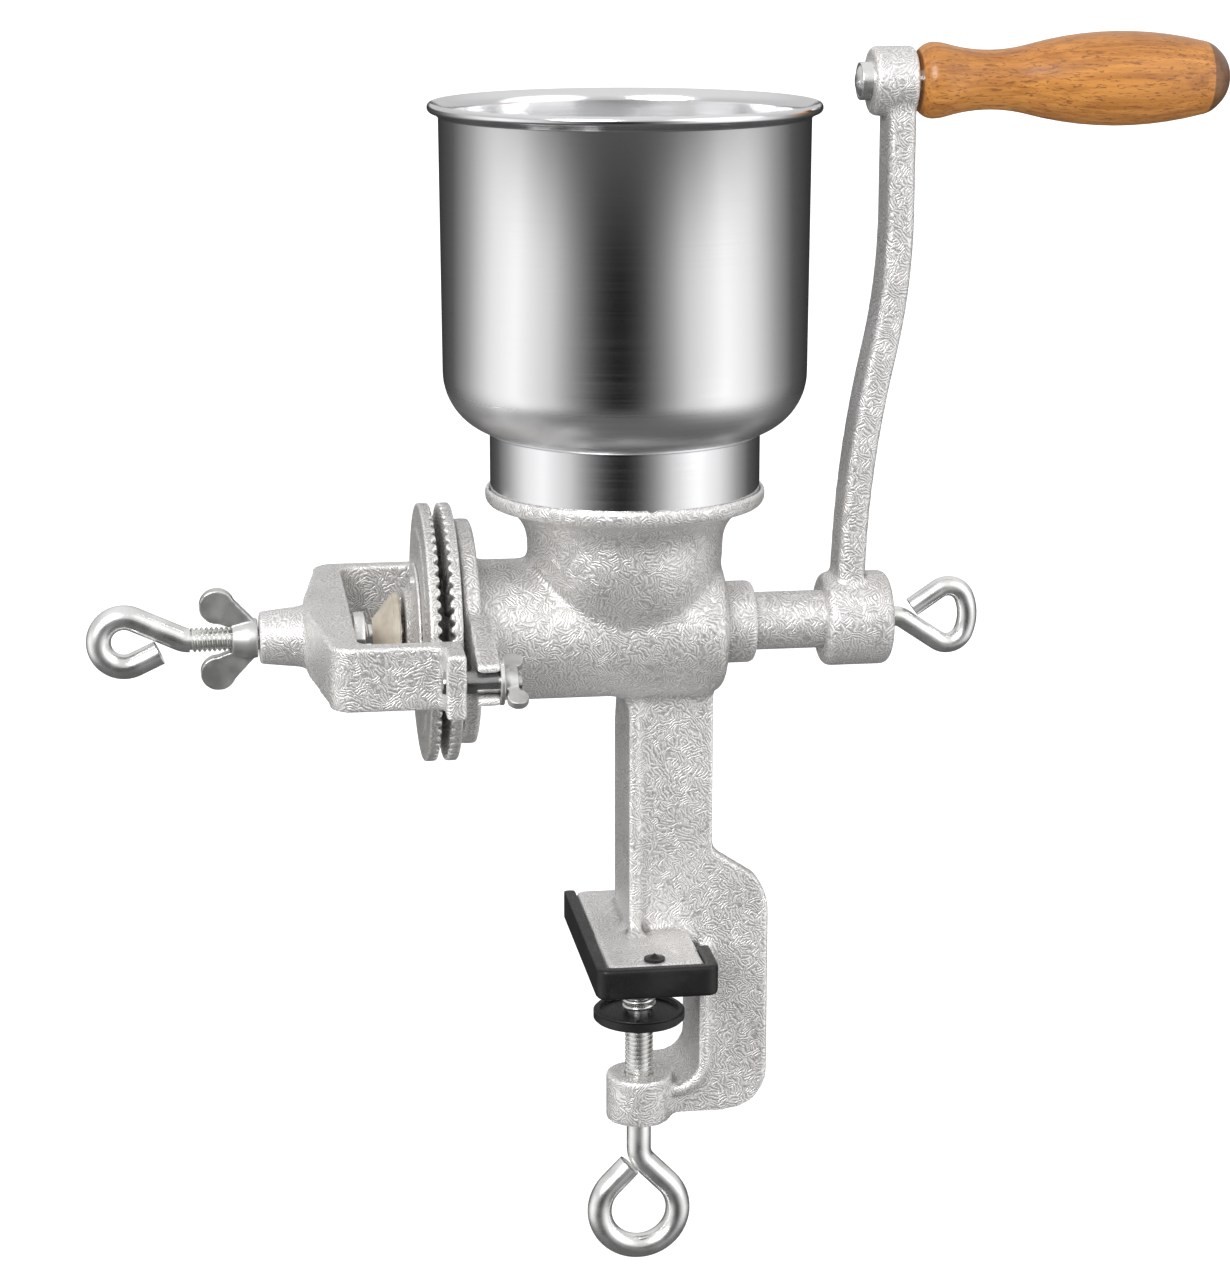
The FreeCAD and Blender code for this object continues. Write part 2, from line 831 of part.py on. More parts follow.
def hopper():
    """The hopper's bowl, spun from sheet, and the band that stands in the collar."""
    wall = d.sheet
    neck_top = NECK_SEAT + d.neck_height
    tuck = d.neck_radius - wall - 0.05
    low_radius = d.bowl_radius - d.bowl_draft
    shoulder = d.shoulder_radius
    centre = neck_top + shoulder
    inset = low_radius - shoulder
    inner = shoulder - wall
    drop = root(shoulder * shoulder - (tuck - inset) * (tuck - inset))
    inner_drop = root(inner * inner - (tuck - wall - inset) * (tuck - wall - inset))
    rim = neck_top + d.bowl_height
    rim_across = d.bowl_radius + 1.5 * d.rim_radius

    neck = put(new_body("neck"), HOPPER_X)
    revolve(
        neck,
        "neck_turned",
        [
            (d.neck_radius - wall, NECK_SEAT),
            (d.neck_radius, NECK_SEAT),
            (d.neck_radius, neck_top),
            (d.neck_radius - wall, neck_top),
        ],
        about="V_Axis",
    )
    bowl = put(new_body("bowl"), HOPPER_X)
    revolve(
        bowl,
        "bowl_turned",
        [
            (tuck, neck_top - 7),
            (tuck, centre - drop),
            (low_radius, centre, shoulder),
            (d.bowl_radius, rim - 4),
            (rim_across, rim - d.rim_radius, -5),
            (rim_across + d.rim_radius * 0.7, rim, d.rim_radius),
            (rim_across, rim + d.rim_radius, d.rim_radius),
            (d.bowl_radius - wall, rim - 3.2, 6),
            (low_radius - wall, centre),
            (tuck - wall, centre - inner_drop, -inner),
            (tuck - wall, neck_top - 7),
        ],
        about="V_Axis",
    )
    finished(bowl, "hopper_bowl")
    finished(neck, "hopper_neck")


def radial_grooves(body, name, face, inward, start, length, count, width, depth):
    """Grooves that run outwards in a disc's face, repeated round its axis."""
    sketch = new_sketch(body, "XY_Plane", name + "_end", height=start)
    top, bottom = width * 0.5, width * 0.2
    draw(
        sketch,
        [
            (face - inward * 0.5, -top),
            (face - inward * 0.5, top),
            (face + depth * inward, bottom),
            (face + depth * inward, -bottom),
        ],
    )
    groove = body.newObject("PartDesign::Pocket", name)
    groove.Profile = sketch
    groove.Reversed = True
    bind(groove, Length=length)
    pattern = body.newObject("PartDesign::PolarPattern", name + "_round")
    pattern.Originals = [groove]
    pattern.Axis = (origin_feature(body, "X_Axis"), [""])
    pattern.Angle = 360.0
    bind(pattern, Occurrences=count)
    body.Tip = pattern


def grinding_disc(name, face, inward, hole, groove_start):
    """A toothed disc: fine teeth at the rim, coarse feed grooves inside, a relieved back."""
    back = face + d.disc_rim * inward
    seat = back + DISC_SEAT * inward
    seat_radius = d.disc_radius * 0.8
    body = put(new_body(name), 0, 0, AXIS)
    revolve(
        body,
        name + "_turned",
        [
            (face, hole),
            (face, d.disc_radius),
            (back, d.disc_radius),
            (back, seat_radius),
            (seat, seat_radius),
            (seat, hole),
        ],
    )
    teeth_start = d.disc_radius - d.tooth_length
    radial_grooves(
        body, name + "_teeth", face, inward, teeth_start, d.tooth_length + 2,
        d.tooth_count, d.tooth_width, d.tooth_depth,
    )
    radial_grooves(
        body, name + "_feed", face, inward, groove_start, teeth_start + 1 - groove_start,
        d.feed_groove_count, d.feed_groove_width, d.feed_groove_depth,
    )
    return body


def countersunk_screw(name, y, z, face, length):
    """A countersunk screw along X whose head faces away from its thread; a negative length runs to -X."""
    way = 1 if number_of(length) > 0 else -1
    head = (d.disc_screw_head - d.disc_screw_radius) * way
    body = put(new_body(name), 0, y, z)
    revolve(
        body,
        name + "_turned",
        [
            (face, 0),
            (face, d.disc_screw_head),
            (face + head, d.disc_screw_radius),
            (face + length, d.disc_screw_radius),
            (face + length, 0),
        ],
    )
    return body


def screwed_disc(name, face, inward, hole, groove_start, circle, angles, length):
    """A grinding disc and the countersunk screws that hold it from its face."""
    disc = grinding_disc(name + "_blank", face, inward, hole, groove_start)
    head_face = face + 0.6 * inward
    seats = []
    screws = []
    for index, angle in enumerate(angles):
        y, z = on_circle(circle, angle)
        screw = countersunk_screw(f"{name}_screw_{index}", y, z, head_face, length * inward)
        seat = countersunk_screw(f"{name}_seat_{index}", y, z, head_face, (length + 4) * inward)
        well = cylinder(
            f"{name}_well_{index}", d.disc_screw_head, 3,
            head_face - (3 if inward > 0 else 0), y, z, "X",
        )
        screws.append(screw)
        seats += [seat, well]
    finished(cut(name + "_cut", disc, *seats), name)
    finished(compound(name + "_screw_set", *screws), name + "_screws")


def stud_places():
    """Y and Z of the two studs, which the yoke's turn lowers in front and lifts behind."""
    across = STUD_OFFSET * cosine(d.yoke_turn)
    rise = STUD_OFFSET * sine(d.yoke_turn)
    return {"front": (-across, AXIS - rise), "back": (across, AXIS + rise)}


def yoke():
    """The yoke: a bridge with two arms, lugs that bear on the ears, and a bored boss."""
    half = YOKE_INSIDE
    wide = YOKE_OUTSIDE
    lug_back = LUG_FACE - d.lug_thickness
    outer = YOKE_OUTER
    body = put(new_body("yoke_bar"), 0, 0, AXIS, axis=(1, 0, 0), angle=d.yoke_turn)
    pad(
        body,
        "yoke_plan",
        [
            (outer - 8, -12),
            (outer - 1.5, 2 - half),
            (outer + 6.5, -wide, 9),
            (lug_back - 3, -wide),
            (lug_back, -wide - 3, -3),
            (lug_back, -LUG_REACH),
            (LUG_FACE, -LUG_REACH),
            (LUG_FACE, -half),
            (YOKE_INNER + 6, -half),
            (YOKE_INNER, 6 - half, -6),
            (YOKE_INNER, half - 6),
            (YOKE_INNER + 6, half, -6),
            (LUG_FACE, half),
            (LUG_FACE, LUG_REACH),
            (lug_back, LUG_REACH),
            (lug_back, wide + 3),
            (lug_back - 3, wide, -3),
            (outer + 6.5, wide),
            (outer - 1.5, half - 2, 9),
            (outer - 8, 12),
        ],
        "XY_Plane",
        d.yoke_height,
        midplane=True,
    )
    revolve(
        body,
        "yoke_boss",
        [
            (YOKE_INNER - 2, 0),
            (YOKE_INNER - 2, d.yoke_boss_root),
            (outer - 4.5, d.yoke_boss_root),
            (YOKE_END, d.yoke_boss_radius),
            (YOKE_END, 0),
        ],
    )
    revolve(
        body,
        "yoke_bore",
        [
            (YOKE_INNER + 1, 0),
            (YOKE_INNER + 1, d.screw_radius + d.thread_clearance),
            (YOKE_END - 1, d.screw_radius + d.thread_clearance),
            (YOKE_END - 1, 0),
        ],
        kind="PartDesign::Groove",
    )
    holes = [
        cylinder(f"stud_hole_{side}", d.stud_radius, d.lug_thickness + 2, lug_back - 1, y, z, "X")
        for side, (y, z) in stud_places().items()
    ]
    finished(cut("yoke_cut", body, *holes), "yoke")


def stud_fasteners():
    """The yoke's studs, each with a washer and a small wing nut behind its ear."""
    start = LUG_FACE - d.lug_thickness - 1.4
    washer_face = EAR_BACK + d.washer_thickness
    studs = []
    for side, (y, z) in stud_places().items():
        body = put(new_body(f"stud_{side}"), 0, y, z)
        revolve(
            body,
            f"stud_{side}_turned",
            [
                (start, 0),
                (start, d.stud_radius - 1),
                (start + 1, d.stud_radius),
                (washer_face + 6.1, d.stud_radius),
                (washer_face + 7.1, d.stud_radius - 1),
                (washer_face + 7.1, 0),
            ],
        )
        studs.append(body)
        blank = cylinder(
            f"washer_{side}_blank", d.washer_radius, d.washer_thickness, EAR_BACK, y, z, "X"
        )
        hole = cylinder(
            f"washer_{side}_hole", d.stud_radius + 0.3, d.washer_thickness + 2,
            EAR_BACK - 1, y, z, "X",
        )
        finished(cut(f"washer_{side}", blank, hole), f"yoke_washer_{side}")
        wing_nut(
            f"yoke_wing_nut_{side}", washer_face + 0.1, y, z, 1, d.stud_radius,
            sized(6.2), sized(5.5), sized(10.8), sized(4.2), sized(4.5), sized(3.2),
            turn=-63 if side == "front" else 63,
        )
    finished(compound("stud_pair", *studs), "yoke_studs")


def wing_nut(name, seat, y, z, way, thread, hub, length, across, lobe, tip, thickness, turn=0):
    """A wing nut from its seat along X: a tapered hub and two round lobes with centres at the tip."""
    body = put(new_body(name + "_wings"), seat, y, z, axis=(1, 0, 0), angle=turn)
    revolve(
        body,
        name + "_hub",
        [
            (0, 0),
            (0, hub),
            (length * 0.35 * way, hub),
            (length * way, hub * 0.8),
            (length * way, 0),
        ],
    )
    sketch = new_sketch(body, "XZ_Plane", name + "_lobes_outline")
    for side in (-1, 1):
        draw_circle(sketch, tip * way, across * side, lobe)
    lobes = body.newObject("PartDesign::Pad", name + "_lobes")
    lobes.Profile = sketch
    lobes.Midplane = True
    bind(lobes, Length=thickness)
    for index, side in enumerate((-1, 1)):
        pad(
            body,
            f"{name}_neck_{index}",
            [
                (length * 0.15 * way, hub * 0.6 * side),
                (length * 0.15 * way, hub * side),
                ((tip - lobe * 0.75) * way, (across + lobe * 0.55) * side),
                (tip * way, across * side),
                ((tip + lobe * 0.3) * way, (across - lobe * 0.9) * side),
                (length * 0.95 * way, hub * 0.6 * side),
            ],
            "XZ_Plane",
            thickness,
            midplane=True,
        )
    revolve(
        body,
        name + "_thread",
        [
            (-way, 0),
            (-way, thread + d.thread_clearance),
            ((length + 1) * way, thread + d.thread_clearance),
            ((length + 1) * way, 0),
        ],
        kind="PartDesign::Groove",
    )
    finished(body, name)


def thrust_pieces():
    """Ball, washer and cup that carry the auger's push to the adjusting screw."""
    ball_place = CARRIER_END - d.cup_gap / 2
    pocket = d.ball_radius + d.thread_clearance
    finished(ball("thrust_ball_solid", d.ball_radius, ball_place, 0, AXIS), "thrust_ball")
    blank = cylinder(
        "thrust_washer_blank", d.thrust_washer_radius, d.thrust_washer_thickness,
        CUP_BACK, 0, AXIS, "X",
    )
    hole = cylinder(
        "thrust_washer_hole", d.ball_radius + 0.4, d.thrust_washer_thickness + 2,
        CUP_BACK - 1, 0, AXIS, "X",
    )
    finished(cut("thrust_washer_cut", blank, hole), "thrust_washer")
    shell = cone(
        "cup_cone", d.cup_small_radius, d.cup_large_radius, d.cup_length, CUP_END, 0, AXIS
    )
    journal = cylinder(
        "cup_bore", d.journal_radius + d.thread_clearance, d.cup_length - 1.9,
        CUP_END - 0.01, 0, AXIS, "X",
    )
    seat = ball("cup_seat", pocket, ball_place, 0, AXIS)
    finished(cut("cup_cut", shell, journal, seat), "thrust_cup")


def teardrop(apex, reach, radius, angle, rod, bend, way, side, upright=False):
    """The bent end of an eye bolt: shank, bend, long loop, and a return that stops short of the shank.

    The apex is where the rod leaves the bolt's axis, way is the sense of the eye along that axis, and side
    is the side of the rod's unbroken branch.
    """
    far = radius / sine(angle)
    turn_in = bend * sine(angle) / (cosine(angle) + 1)
    hand = way * side * (-1 if upright else 1)
    double = angle * 2
    stop = (rod * (cosine(double) + 1) + 1.2) / sine(double)
    touch_along = far * cosine(angle) * cosine(angle)
    touch_across = far * cosine(angle) * sine(angle)
    route = [
        (-reach, 0),
        (-turn_in, 0),
        (turn_in * cosine(angle), turn_in * sine(angle), bend * hand),
        (touch_along, touch_across),
        (far + radius, 0, -radius * hand),
        (touch_along, -touch_across, -radius * hand),
        (stop * cosine(angle), -stop * sine(angle)),
    ]
    points = []
    for along, across, *arc in route:
        first = sized(along) * way + apex
        second = sized(across) * side if number_of(across) else 0
        points.append((second, first, *arc) if upright else (first, second, *arc))
    return points


def eye(body, name, points, rod, start, upright=False):
    """Sweeps the rod along the eye's route."""
    route = new_sketch(body, "XZ_Plane", name + "_route")
    draw(route, points, closed=False)
    section = new_sketch(body, "XY_Plane" if upright else "YZ_Plane", name + "_rod", height=start)
    draw_circle(section, 0, 0, rod)
    pipe = body.newObject("PartDesign::AdditivePipe", name)
    pipe.Profile = section
    pipe.Spine = (route, [])
    return pipe


def adjusting_screw():
    """Eye bolt through the yoke's boss; its journal turns in the thrust cup."""
    apex = YOKE_END - d.adjusting_reach
    shoulder = CUP_END - 0.2
    body = put(new_body("adjusting_bolt"), 0, 0, AXIS)
    revolve(
        body,
        "adjusting_shank",
        [
            (shoulder + d.cup_length - 2.1, 0),
            (shoulder + d.cup_length - 2.1, d.journal_radius - 0.6),
            (shoulder + d.cup_length - 2.7, d.journal_radius),
            (shoulder, d.journal_radius),
            (shoulder, d.screw_radius - 0.5),
            (shoulder - 0.8, d.screw_radius),
            (apex + 5, d.screw_radius),
            (apex + 5, 0),
        ],
    )
    route = teardrop(
        apex, 6, d.adjusting_loop, d.adjusting_half_angle, d.screw_radius, 9.0, way=-1, side=1
    )
    eye(body, "adjusting_eye", route, d.screw_radius, apex + 6)
    finished(body, "adjusting_screw")


def jam_nut():
    """Hexagon nut locked against the adjusting screw's inner end."""
    across = d.jam_nut_flats / 2
    corner = across * (2 / math.sqrt(3))
    outline = [
        (corner * math.cos(math.radians(60 * step)), corner * math.sin(math.radians(60 * step)))
        if step % 3
        else (corner * math.cos(math.radians(60 * step)), 0)
        for step in range(6)
    ]
    body = put(new_body("jam_hexagon"), YOKE_INNER + 1.5, 0, AXIS)
    pad(body, "jam_prism", outline, "YZ_Plane", d.jam_nut_thickness)
    revolve(
        body,
        "jam_thread",
        [
            (-1, 0),
            (-1, d.screw_radius),
            (d.jam_nut_thickness + 1, d.screw_radius),
            (d.jam_nut_thickness + 1, 0),
        ],
        kind="PartDesign::Groove",
    )
    finished(body, "jam_nut")


def square_bar(name, side, start, length):
    """A square bar along the barrel's axis."""
    return box(name, length, side, side, start, -side / 2, AXIS - side / 2)


def disc_carrier():
    """Hub that the rotating disc is screwed to, with a square hole for the auger's front end."""
    body = put(new_body("carrier_hub"), 0, 0, AXIS)
    neck = d.carrier_hub_radius
    revolve(
        body,
        "carrier_turned",
        [
            (CARRIER_END, 0),
            (CARRIER_END, neck - 1),
            (CARRIER_END + 1, neck, -1),
            (CARRIER_FACE - 1.6, d.carrier_radius, 14),
            (CARRIER_FACE, d.carrier_radius),
            (CARRIER_FACE, d.spigot_radius),
            (CARRIER_FACE + 5, d.spigot_radius),
            (CARRIER_FACE + 5, 0),
        ],
    )
    holes = [square_bar("carrier_square", d.front_square + 0.2, CARRIER_END - 1, 14)]
    for index, angle in enumerate(MOVING_SCREW_ANGLES):
        y, z = on_circle(MOVING_SCREW_CIRCLE, angle)
        hole = cylinder(
            f"carrier_hole_{index}", d.disc_screw_radius, d.carrier_length + 2,
            CARRIER_END - 1, y, z, "X",
        )
        holes.append(hole)
    finished(cut("carrier_cut", body, *holes), "disc_carrier")


def auger():
    """Feed screw and shaft in one casting, with a square at each end."""
    flight_radius = BORE_RADIUS - d.flight_clearance
    flight_start = FIXED_DISC_FACE - 0.6
    flight_end = BORE_END - 3.5
    tang_start = CARRIER_END + 0.4
    shaft_end = CRANK_START + 3
    square_end = CRANK_END - 1
    half = d.flight_thickness / 2
    flight = put(new_body("flight"), flight_start + half, 0, AXIS)
    sketch = new_sketch(flight, "XZ_Plane", "flight_section")
    draw(
        sketch,
        [
            (-half, d.core_radius - 1.5),
            (half, d.core_radius - 1.5),
            (half * 0.7, flight_radius),
            (half * -0.7, flight_radius),
        ],
    )
    helix = flight.newObject("PartDesign::AdditiveHelix", "flight_helix")
    helix.Profile = sketch
    helix.ReferenceAxis = (sketch, ["H_Axis"])
    helix.Mode = "pitch-height-angle"
    helix.Angle = 0
    helix.Growth = 0
    helix.LeftHanded = True
    bind(helix, Pitch=d.flight_pitch, Height=flight_end - flight_start - d.flight_thickness)

    shaft = put(new_body("shaft"), 0, 0, AXIS)
    revolve(
        shaft,
        "shaft_turned",
        [
            (FIXED_DISC_FACE - 3.5, 0),
            (FIXED_DISC_FACE - 3.5, d.core_radius),
            (BORE_END - 4, d.core_radius),
            (BORE_END - 1, d.shaft_radius),
            (shaft_end, d.shaft_radius),
            (shaft_end, 0),
        ],
    )
    front = square_bar(
        "front_tang", d.front_square, tang_start, FIXED_DISC_FACE - tang_start - 2
    )
    rear = square_bar(
        "rear_tang", d.rear_square, shaft_end - 2, square_end - shaft_end + 2
    )
    whole = fuse("auger_whole", fuse("auger_shaft", shaft, front, rear), flight)
    pocket = ball(
        "auger_pocket", d.ball_radius + d.thread_clearance, CARRIER_END - d.cup_gap / 2, 0, AXIS
    )
    thread = cylinder(
        "auger_thread", d.eye_screw_radius + d.thread_clearance, d.eye_screw_depth + 3,
        CRANK_END - d.eye_screw_depth - 0.5, 0, AXIS, "X",
    )
    finished(cut("auger_cut", whole, pocket, thread), "auger")


def crank_hub(name, start, length, radius, round_over, height):
    """A round hub of the crank, its rims rounded over."""
    body = put(new_body(name), start, 0, height)
    revolve(
        body,
        name + "_turned",
        [
            (0, 0),
            (0, radius - round_over),
            (round_over, radius, -round_over),
            (length - round_over, radius),
            (length, radius - round_over, -round_over),
            (length, 0),
        ],
    )
    return body


def crank_bar():
    """The crank's bar, bent out and back in two long arcs."""
    half = d.arm_thickness / 2
    lean_sine = sine(d.arm_lean)
    lean_cosine = cosine(d.arm_lean)
    low_x = ARM_X
    low_z = AXIS + d.arm_straight
    middle_x = low_x + d.arm_lower_bend * (1 - lean_cosine)
    middle_z = low_z + d.arm_lower_bend * lean_sine
    high_x = middle_x + d.arm_upper_bend * (1 - lean_cosine)
    high_z = middle_z + d.arm_upper_bend * lean_sine
    body = new_body("crank_bar")
    side = pad(
        body,
        "crank_bar_side",
        [
            (low_x - half, AXIS),
            (low_x + half, AXIS),
            (low_x + half, low_z),
            (middle_x + half * lean_cosine, middle_z - half * lean_sine, half - d.arm_lower_bend),
            (high_x + half, high_z, d.arm_upper_bend + half),
            (high_x + half, CRANK_TOP),
            (high_x - half, CRANK_TOP),
            (high_x - half, high_z),
            (middle_x - half * lean_cosine, middle_z + half * lean_sine, half - d.arm_upper_bend),
            (low_x - half, low_z, d.arm_lower_bend + half),
        ],
        "XZ_Plane",
        d.arm_width,
        midplane=True,
    )
    round_edges(body, "crank_bar_rounded", side, d.arm_edge, runs_upwards)
    return body


def runs_upwards(edge):
    return edge.BoundBox.ZLength > edge.BoundBox.YLength


def crank_arm():
    """The crank, cast with a hub at each end."""
    bar = crank_bar()
    low = crank_hub(
        "crank_hub_low", CRANK_START, d.crank_hub_length, d.crank_hub_radius, sized(3.5), AXIS
    )
    high = crank_hub(
        "crank_hub_high", GRIP_HUB_START, d.grip_hub_length, d.grip_hub_radius, sized(2),
        CRANK_TOP,
    )
    whole = fuse("crank_whole", bar, low, high)
    square = square_bar(
        "crank_square", d.rear_square + 0.2, CRANK_START - 1, d.crank_hub_length + 2
    )
    seat = cylinder(
        "crank_counterbore", d.shaft_radius + 0.4, 4, CRANK_START - 1, 0, AXIS, "X"
    )
    hole = cylinder(
        "crank_axle_hole", d.axle_radius, d.grip_hub_length + 2, GRIP_HUB_START - 1, 0,
        CRANK_TOP, "X",
    )
    finished(cut("crank_cut", whole, square, seat, hole), "crank_arm")


def crank_washer():
    blank = cylinder(
        "crank_washer_blank", d.crank_washer_radius, d.crank_washer_thickness, CRANK_END, 0,
        AXIS, "X",
    )
    hole = cylinder(
        "crank_washer_hole", d.eye_screw_radius + 0.3, d.crank_washer_thickness + 2,
        CRANK_END - 1, 0, AXIS, "X",
    )
    finished(cut("crank_washer_cut", blank, hole), "crank_washer")


def crank_eye_screw():
    """Eye bolt that holds the crank on the auger's square end."""
    apex = CRANK_END + d.crank_washer_thickness + 4.0
    start = CRANK_END - d.eye_screw_depth
    body = put(new_body("crank_bolt"), 0, 0, AXIS)
    revolve(
        body,
        "crank_bolt_shank",
        [
            (start, 0),
            (start, d.eye_screw_radius - 0.7),
            (start + 0.7, d.eye_screw_radius),
            (apex - 3.4, d.eye_screw_radius),
            (apex - 3.4, 0),
        ],
    )
    route = teardrop(
        apex, 4.2, d.eye_screw_loop, d.eye_screw_half_angle, d.eye_screw_radius, 6.0,
        way=1, side=-1,
    )
    eye(body, "crank_bolt_eye", route, d.eye_screw_radius, apex - 4.2)
    finished(body, "crank_eye_screw")


def grip_axle():
    """Steel pin riveted through the crank; its sprung end holds the grip."""
    body = put(new_body("axle_pin"), 0, 0, CRANK_TOP)
    head = GRIP_HUB_START - d.axle_head_length
    revolve(
        body,
        "axle_turned",
        [
            (head, 0),
            (head, 1.5),
            (head + d.axle_head_length * 0.72, d.axle_head_radius, d.axle_head_radius * -1.05),
            (GRIP_HUB_START, d.axle_head_radius),
            (GRIP_HUB_START, d.axle_radius),
            (AXLE_END, d.axle_radius),
            (AXLE_END, d.axle_end_radius),
            (AXLE_END + d.axle_end_length, d.axle_end_radius),
            (AXLE_END + d.axle_end_length, 0),
        ],
    )
    finished(body, "grip_axle")


def grip():
    """Turned wooden grip: bead, waist, belly and domed end, all tangent, round the axle's bore."""
    bore = d.axle_radius + d.thread_clearance
    pocket = d.axle_end_radius + 0.35
    bead_x = GRIP_START + 5.7
    waist_x = GRIP_START + d.grip_length * 0.226
    belly_x = GRIP_START + d.grip_length * 0.645
    drop = d.grip_bead_radius - d.grip_waist_radius
    rise = d.grip_belly_radius - d.grip_waist_radius
    run_in = waist_x - bead_x
    run_out = belly_x - waist_x
    first_sum = (run_in * run_in + drop * drop) / (drop * 2)
    second_sum = (run_out * run_out + rise * rise) / (rise * 2)
    waist_bend = second_sum * 0.3
    belly_bend = second_sum * 0.7
    bead_bend = first_sum - waist_bend
    end_x = GRIP_START + d.grip_length - 11.5
    tail = end_x - belly_x
    tail_radius = d.grip_belly_radius - belly_bend + root(belly_bend * belly_bend - tail * tail)
    body = put(new_body("grip_turned"), 0, 0, CRANK_TOP)
    revolve(
        body,
        "grip_profile",
        [
            (GRIP_START, bore),
            (GRIP_START, d.grip_bead_radius - 2.8),
            (bead_x, d.grip_bead_radius, -7.2),
            (
                bead_x + run_in * bead_bend / first_sum,
                d.grip_bead_radius - drop * bead_bend / first_sum,
                -bead_bend,
            ),
            (
                waist_x + run_out * waist_bend / second_sum,
                d.grip_waist_radius + rise * waist_bend / second_sum,
                waist_bend,
            ),
            (end_x, tail_radius, -belly_bend),
            (end_x + 6.5, tail_radius - 3.4, -11),
            (GRIP_START + d.grip_length, 0, -14),
            (AXLE_END + d.axle_end_length + 0.4, 0),
            (AXLE_END + d.axle_end_length + 0.4, pocket),
            (AXLE_END - 0.4, pocket),
            (AXLE_END - 0.4, bore),
        ],
    )
    finished(body, "grip")


def clamp_screw():
    """Eye bolt through the clamp boss; its journal carries the pad."""
    seat = -d.clamp_pad_top - d.clamp_pad_recess
    top = seat + 2.0 + d.ring_pitch * d.ring_turns + d.ring_wire_radius * 2
    shoulder = -d.clamp_pad_top - d.clamp_pad_thickness - 0.15
    apex = -d.clamp_apex
    body = new_body("clamp_bolt")
    revolve(
        body,
        "clamp_bolt_shank",
        [
            (0, top),
            (d.clamp_journal_radius - 1.2, top),
            (d.clamp_journal_radius, top - 1.2, -1.3),
            (d.clamp_journal_radius, shoulder),
            (d.clamp_screw_radius, shoulder),
            (d.clamp_screw_radius, apex + 8),
            (d.clamp_rod_radius, apex + 6),
            (d.clamp_rod_radius, apex + 4),
            (0, apex + 4),
        ],
        about="V_Axis",
    )
    route = teardrop(
        apex, 5.5, d.clamp_loop, d.clamp_half_angle, d.clamp_rod_radius, 7.0, way=-1, side=1,
        upright=True,
    )
    eye(body, "clamp_bolt_eye", route, d.clamp_rod_radius, apex + 5.5, upright=True)
    finished(body, "clamp_screw")


def clamp_pad():
    """Round pad with a raised rim and a flat recess that the retaining ring lies in."""
    bottom = -d.clamp_pad_top - d.clamp_pad_thickness
    recess = d.clamp_pad_thickness - d.clamp_pad_recess
    body = put(new_body("clamp_disc"), 0, 0, bottom)
    hole = d.clamp_journal_radius + d.thread_clearance
    revolve(
        body,
        "clamp_disc_turned",
        [
            (hole, 0),
            (d.clamp_pad_radius - 0.8, 0),
            (d.clamp_pad_radius, 0.8, 0.8),
            (d.clamp_pad_radius, d.clamp_pad_thickness - 0.8),
            (d.clamp_pad_radius - 0.8, d.clamp_pad_thickness, 0.8),
            (d.clamp_pad_radius * 0.86, d.clamp_pad_thickness),
            (d.clamp_pad_radius * 0.83, recess),
            (hole, recess),
        ],
        about="V_Axis",
    )
    finished(body, "clamp_pad")


def biarc(start, start_way, finish, finish_way):
    """Two arcs from start to finish, tangent to unit ways at both ends and to each other."""
    gap = finish - start
    ways = start_way + finish_way
    spread = 2 * (1 - start_way.dot(finish_way))
    along = gap.dot(ways)
    reach = (math.sqrt(along * along + spread * gap.dot(gap)) - along) / spread
    corners = (start + start_way * reach, finish - finish_way * reach)
    middle = (corners[0] + corners[1]) * 0.5
    arcs = []
    for first, corner, last in ((start, corners[0], middle), (middle, corners[1], finish)):
        chord_middle = (first + last) * 0.5
        rise = corner - chord_middle
        half = (last - first).Length / 2
        bulge = half * math.tan(math.atan2(rise.Length, half) / 2)
        crown = chord_middle + rise.normalize() * bulge
        arcs.append(Part.Arc(first, crown, last).toShape())
    return arcs


def coil_point(radius, pitch, turn):
    """A point of the coil and the unit way along it, after a number of turns."""
    angle = 2 * math.pi * turn
    point = Vector(radius * math.cos(angle), radius * math.sin(angle), pitch * turn)
    way = Vector(
        -2 * math.pi * radius * math.sin(angle), 2 * math.pi * radius * math.cos(angle), pitch
    )
    return point, way.normalize()


def retaining_ring():
    """Bright wire coil that holds the pad on the screw's journal."""
    wire = d.ring_wire_radius.value
    pitch = d.ring_pitch.value
    turns = d.ring_turns.value
    radius = d.clamp_journal_radius.value + wire + 0.15
    quarters = round(turns * 4)
    arcs = []
    for index in range(quarters):
        start = coil_point(radius, pitch, turns * index / quarters)
        finish = coil_point(radius, pitch, turns * (index + 1) / quarters)
        arcs += biarc(*start, *finish)
    line = Part.Wire(arcs)
    point, way = coil_point(radius, pitch, 0)
    section = Part.Wire([Part.Circle(point, way, wire).toShape()])
    coil = doc.addObject("Part::Feature", "retaining_coil")
    coil.Shape = Part.Solid(Part.Shell(line.makePipeShell([section], True, False).Faces))
    samples = line.discretize(Number=160)
    apart = 4 * wire
    gap = min(
        (first - second).Length - 2 * wire
        for index, first in enumerate(samples)
        for other, second in enumerate(samples[index + 1 :], start=index + 1)
        if (other - index) * line.Length / len(samples) > apart + 4
    )
    print(f"retaining ring: least gap between its turns {gap:.2f} mm")
    put(coil, 0, 0, d.ring_wire_radius - d.clamp_pad_top - d.clamp_pad_recess + 0.05)
    finished(coil, "clamp_retaining_ring")


